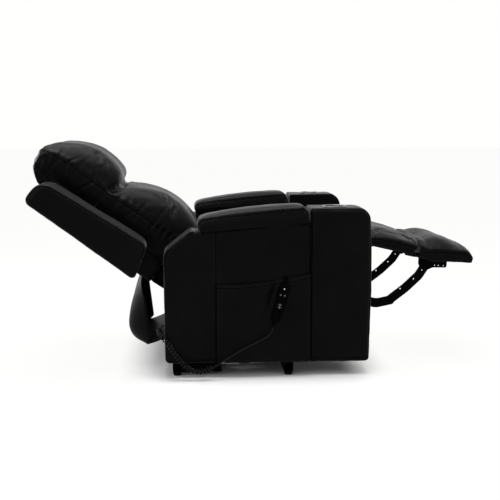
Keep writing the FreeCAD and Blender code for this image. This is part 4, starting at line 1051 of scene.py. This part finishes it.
def spline_piece(name, route, thick):
    curve = bpy.data.curves.new(name, "CURVE")
    curve.dimensions = "3D"
    curve.resolution_u = 4
    curve.bevel_depth = thick
    curve.bevel_resolution = 2
    spline = curve.splines.new("NURBS")
    spline.points.add(len(route) - 1)
    for spot, point in zip(spline.points, route):
        spot.co = (*point, 1)
    spline.order_u = 3
    spline.use_endpoint_u = True
    return placed(name, curve)


def curled(route):
    """Points of a helix round a route."""
    guide = spline_piece("curl_guide", route, 0)
    guide.data.resolution_u = 24
    graph = bpy.context.evaluated_depsgraph_get()
    mesh = bpy.data.meshes.new_from_object(guide.evaluated_get(graph))
    line = np.array([vertex.co for vertex in mesh.vertices])
    bpy.data.objects.remove(guide)
    steps = np.concatenate([[0], np.cumsum(np.linalg.norm(np.diff(line, axis=0), axis=1))])
    points = []
    for index in range(CURLS * POINTS_PER_CURL + 1):
        share = index / (CURLS * POINTS_PER_CURL)
        spot = CURL_LEAD + (steps[-1] - 2 * CURL_LEAD) * share
        middle, ahead = [Vector([np.interp(place, steps, line[:, axis]) for axis in range(3)])
                         for place in (spot, min(steps[-1], spot + 0.002))]
        along = (ahead - middle).normalized()
        sideways = (Vector((0, 1, 0)) - along * along.y).normalized()
        ramp = min(1, share * CURLS / 0.75, (1 - share) * CURLS / 0.75)
        radius = CURL_RADIUS * ramp * ramp * (3 - 2 * ramp)
        turn = 2 * math.pi * CURLS * share
        spoke = sideways * math.cos(turn) + along.cross(sideways) * math.sin(turn)
        points.append(middle + spoke * radius)
    return [Vector(line[0])] + points + [Vector(line[-1])]


straight_run = [at(*point) for point in CORD_STRAIGHT]
tail_run = [at(*point) for point in CORD_TAIL]
cord_route = straight_run + curled([at(*point) for point in CORD_CURLY]) + tail_run
cord = spline_piece("handset_cord", cord_route, WIRE_RADIUS)
cord.data.materials.append(CORD)
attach(cord, "chair")
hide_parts("cord_straight", "cord_curly", "cord_tail")

# %% [markdown]
# Thread and the dark joint of each seam repeat along many lines, so Geometry Nodes trees make them:
# a thin tube in the joint, and short stitches on a line beside it. One mesh comes out for each body.
# The same tube, thicker, lies in the gaps under the arm pads, at the arm-post joints and at the pockets'
# rear edges, as painted shade for those gaps.

# %% Seam tree
STITCH_ASIDE = 0.0042
JOINT_RADIUS, STITCH_LENGTH, STITCH_PITCH, STITCH_RADIUS = 0.0014, 0.0045, 0.0072, 0.0005
SHADE_STRIP_RADIUS = 0.003


def tree_with(name, sizes):
    """An empty Geometry Nodes tree with named sizes."""
    tree = bpy.data.node_groups.new(name, "GeometryNodeTree")
    tree.interface.new_socket("Geometry", in_out="INPUT", socket_type="NodeSocketGeometry")
    tree.interface.new_socket("Geometry", in_out="OUTPUT", socket_type="NodeSocketGeometry")
    for label, value in sizes.items():
        socket = tree.interface.new_socket(label, in_out="INPUT", socket_type="NodeSocketFloat")
        socket.default_value = value
    return tree, tree.nodes.new("NodeGroupInput"), tree.nodes.new("NodeGroupOutput")


def wire(tree, *runs):
    """Join nodes; each run is a source, its output, a target and its input."""
    for source, output, target, taken in runs:
        tree.links.new(source.outputs[output], target.inputs[taken])


def dressed(tree, source, output, result, material):
    """The end of every tree: real geometry in one material."""
    real, dress = tree.nodes.new("GeometryNodeRealizeInstances"), tree.nodes.new("GeometryNodeSetMaterial")
    dress.inputs["Material"].default_value = material
    wire(tree, (source, output, real, "Geometry"), (real, "Geometry", dress, "Geometry"),
         (dress, "Geometry", result, "Geometry"))
    return tree


def joint_tree():
    tree, given, result = tree_with("seam_joint", {"Radius": JOINT_RADIUS})
    path, ring, tube = map(tree.nodes.new, ("GeometryNodeMeshToCurve", "GeometryNodeCurvePrimitiveCircle",
                                            "GeometryNodeCurveToMesh"))
    ring.inputs["Resolution"].default_value = 5
    tube.inputs["Fill Caps"].default_value = True
    wire(tree, (given, "Geometry", path, "Mesh"), (given, "Radius", ring, "Radius"),
         (path, "Curve", tube, "Curve"), (ring, "Curve", tube, "Profile Curve"))
    return dressed(tree, tube, "Mesh", result, SEAM)


def stitch_tree():
    sizes = {"Length": STITCH_LENGTH, "Pitch": STITCH_PITCH, "Radius": STITCH_RADIUS}
    tree, given, result = tree_with("seam_stitches", sizes)
    path, even, rod, tangent, aim, put = map(tree.nodes.new, (
        "GeometryNodeMeshToCurve", "GeometryNodeResampleCurve", "GeometryNodeMeshCylinder",
        "GeometryNodeInputTangent", "FunctionNodeAlignRotationToVector", "GeometryNodeInstanceOnPoints"))
    even.mode = "LENGTH"
    rod.inputs["Vertices"].default_value = 5
    wire(tree, (given, "Geometry", path, "Mesh"), (path, "Curve", even, "Curve"),
         (given, "Pitch", even, "Length"), (given, "Radius", rod, "Radius"), (given, "Length", rod, "Depth"),
         (tangent, "Tangent", aim, "Vector"), (even, "Curve", put, "Points"), (rod, "Mesh", put, "Instance"),
         (aim, "Rotation", put, "Rotation"))
    return dressed(tree, put, "Instances", result, THREAD)


def line_mesh(name, lines):
    points, edges = [], []
    for line in lines:
        edges += [(len(points) + index, len(points) + index + 1) for index in range(len(line) - 1)]
        points += line
    return mesh_piece(name, points, [], edges=edges)


def grown(piece, tree, sizes):
    """Run a tree on a piece with its sizes set, and keep the plain mesh."""
    grow = piece.modifiers.new("grow", "NODES")
    grow.node_group = tree
    for socket in tree.interface.items_tree:
        if socket.name in sizes:
            grow[socket.identifier] = sizes[socket.name]
    return settle(piece)


def aside(line, normals, gap):
    """The line moved sideways on the skin."""
    moved = []
    for index, (point, normal) in enumerate(zip(line, normals)):
        way = line[min(index + 1, len(line) - 1)] - line[max(index - 1, 0)]
        moved.append(point + way.cross(normal).normalized() * gap + normal * 0.0002)
    return moved


# %% Thread every body's seams
joint, stitch = joint_tree(), stitch_tree()
for body, runs in sewn.items():
    seam_lines = grown(line_mesh(body + "_seam_joints", [line for line, normals in runs]), joint,
                       {"Radius": JOINT_RADIUS})
    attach(seam_lines, body)
    rows = [aside(line, normals, gap) for line, normals in runs for gap in (-STITCH_ASIDE, STITCH_ASIDE)]
    thread = grown(line_mesh(body + "_stitches", rows), stitch,
                   {"Length": STITCH_LENGTH, "Pitch": STITCH_PITCH, "Radius": STITCH_RADIUS})
    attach(thread, body)
    print(body, "seams", len(runs), "stitch faces", len(thread.data.polygons))
# These dark tubes are painted shade in the arms' gaps.
shade_strips = grown(line_mesh("arm_gap_painted_shade", shade_gap_lines), joint, {"Radius": SHADE_STRIP_RADIUS})
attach(shade_strips, "chair")

# %% [markdown]
# The keys carry plain printed marks: arrows on the two halves of the ring, lines on the two upper keys.
# Each mark is a thin plate on its key, so it goes down with the key.

# %% Key marks
HAND_AT, HAND_TILT = (428, 286), math.radians(15.4)


def on_hand(across, rise, y):
    """A point on the handset's face, measured from its middle."""
    side, high = math.cos(HAND_TILT), math.sin(HAND_TILT)
    return Vector((at(HAND_AT[0] + across * side + rise * high, 0, 0).x, y,
                   (HAND_AT[1] - across * high + rise * side) / 1000))


def bar_shape(across, rise, wide, tall):
    return [(across - wide, rise - tall), (across + wide, rise - tall), (across + wide, rise + tall),
            (across - wide, rise + tall)]


def key_mark(key, shapes):
    face_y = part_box(key)[0].y
    points, faces = [], []
    for shape in shapes:
        first, count = len(points), len(shape)
        points += [on_hand(*spot, face_y - 0.0003) for spot in shape]
        points += [on_hand(*spot, face_y + 0.0002) for spot in shape]
        faces += [tuple(range(first, first + count)),
                  tuple(range(first + 2 * count - 1, first + count - 1, -1))]
        for index in range(count):
            after = (index + 1) % count
            faces.append((first + index, first + count + index, first + count + after, first + after))
    mark = mesh_piece(key + "_mark", points, faces, MARK)
    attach(mark, key)


key_mark("key_up", [[(-4.2, -5.4), (4.2, -5.4), (0, 0.6)]])
key_mark("key_down", [[(4.2, -10.6), (-4.2, -10.6), (0, -16.6)]])
key_mark("key_heat", [bar_shape(-8 + step, 34, 0.45, 2.2) for step in (-1.7, 0, 1.7)])
key_mark("key_massage", [bar_shape(8, 34 + step, 2.3, 0.45) for step in (-1.6, 0, 1.6)])
print("key marks made")

# %% [markdown]
# Every pivot pin ends in a rivet head. The heads repeat, so another Geometry Nodes tree sets them on points.
# A ray from outside finds how far each pin reaches, and the head sits on its end.

# %% Rivet tree
RIVET_RADIUS, RIVET_FLAT = 0.0085, 0.4


def rivet_tree():
    tree, given, result = tree_with("rivet_heads", {"Radius": RIVET_RADIUS, "Flat": RIVET_FLAT})
    ball, press, scale, put = map(tree.nodes.new, (
        "GeometryNodeMeshUVSphere", "GeometryNodeTransform", "ShaderNodeCombineXYZ",
        "GeometryNodeInstanceOnPoints"))
    ball.inputs["Segments"].default_value = 12
    ball.inputs["Rings"].default_value = 5
    scale.inputs["X"].default_value = 1
    scale.inputs["Z"].default_value = 1
    wire(tree, (given, "Radius", ball, "Radius"), (given, "Flat", scale, "Y"),
         (ball, "Mesh", press, "Geometry"), (scale, "Vector", press, "Scale"),
         (given, "Geometry", put, "Points"), (press, "Geometry", put, "Instance"))
    return dressed(tree, put, "Instances", result, BLACK_STEEL)


# %% Rivet heads
STEEL = ("mechanism_plates", "footrest_hinge_arms", "footrest_inner_links", "footrest_outer_links",
         "footrest_brackets", "mid_board", "footrest_board", "body_pins", "rear_lift_links",
         "front_lift_links", "base_brackets", "back_brackets")
PINS = {"chair": [(653.04, 342.55), (790, 474), (120, 290), (45.1, 80), (214.5, 90)],
        "inner_links": [(889.99, 251.51)], "outer_links": [(1030, 387)], "mid_rest": [(988, 428)],
        "base": [(419.1, 150), (480, 148.9)]}
steel_skins = [skin_of(frame["nodes"][node]) for node in STEEL]
rivets = rivet_tree()
for body, spots in PINS.items():
    heads = []
    for x, z in spots:
        eye = at(x, -2000, z)
        reach = [skin.ray_cast(eye, Vector((0, 1, 0)))[0] for skin in steel_skins]
        outer = min(hit.y for hit in reach if hit)
        heads += [(eye.x, outer, eye.z), (eye.x, -outer, eye.z)]
    rivet_heads = grown(mesh_piece(body + "_rivets", heads, []), rivets,
                        {"Radius": RIVET_RADIUS, "Flat": RIVET_FLAT})
    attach(rivet_heads, body)
    print(rivet_heads.name, len(heads), [round(1000 * head[1]) for head in heads])
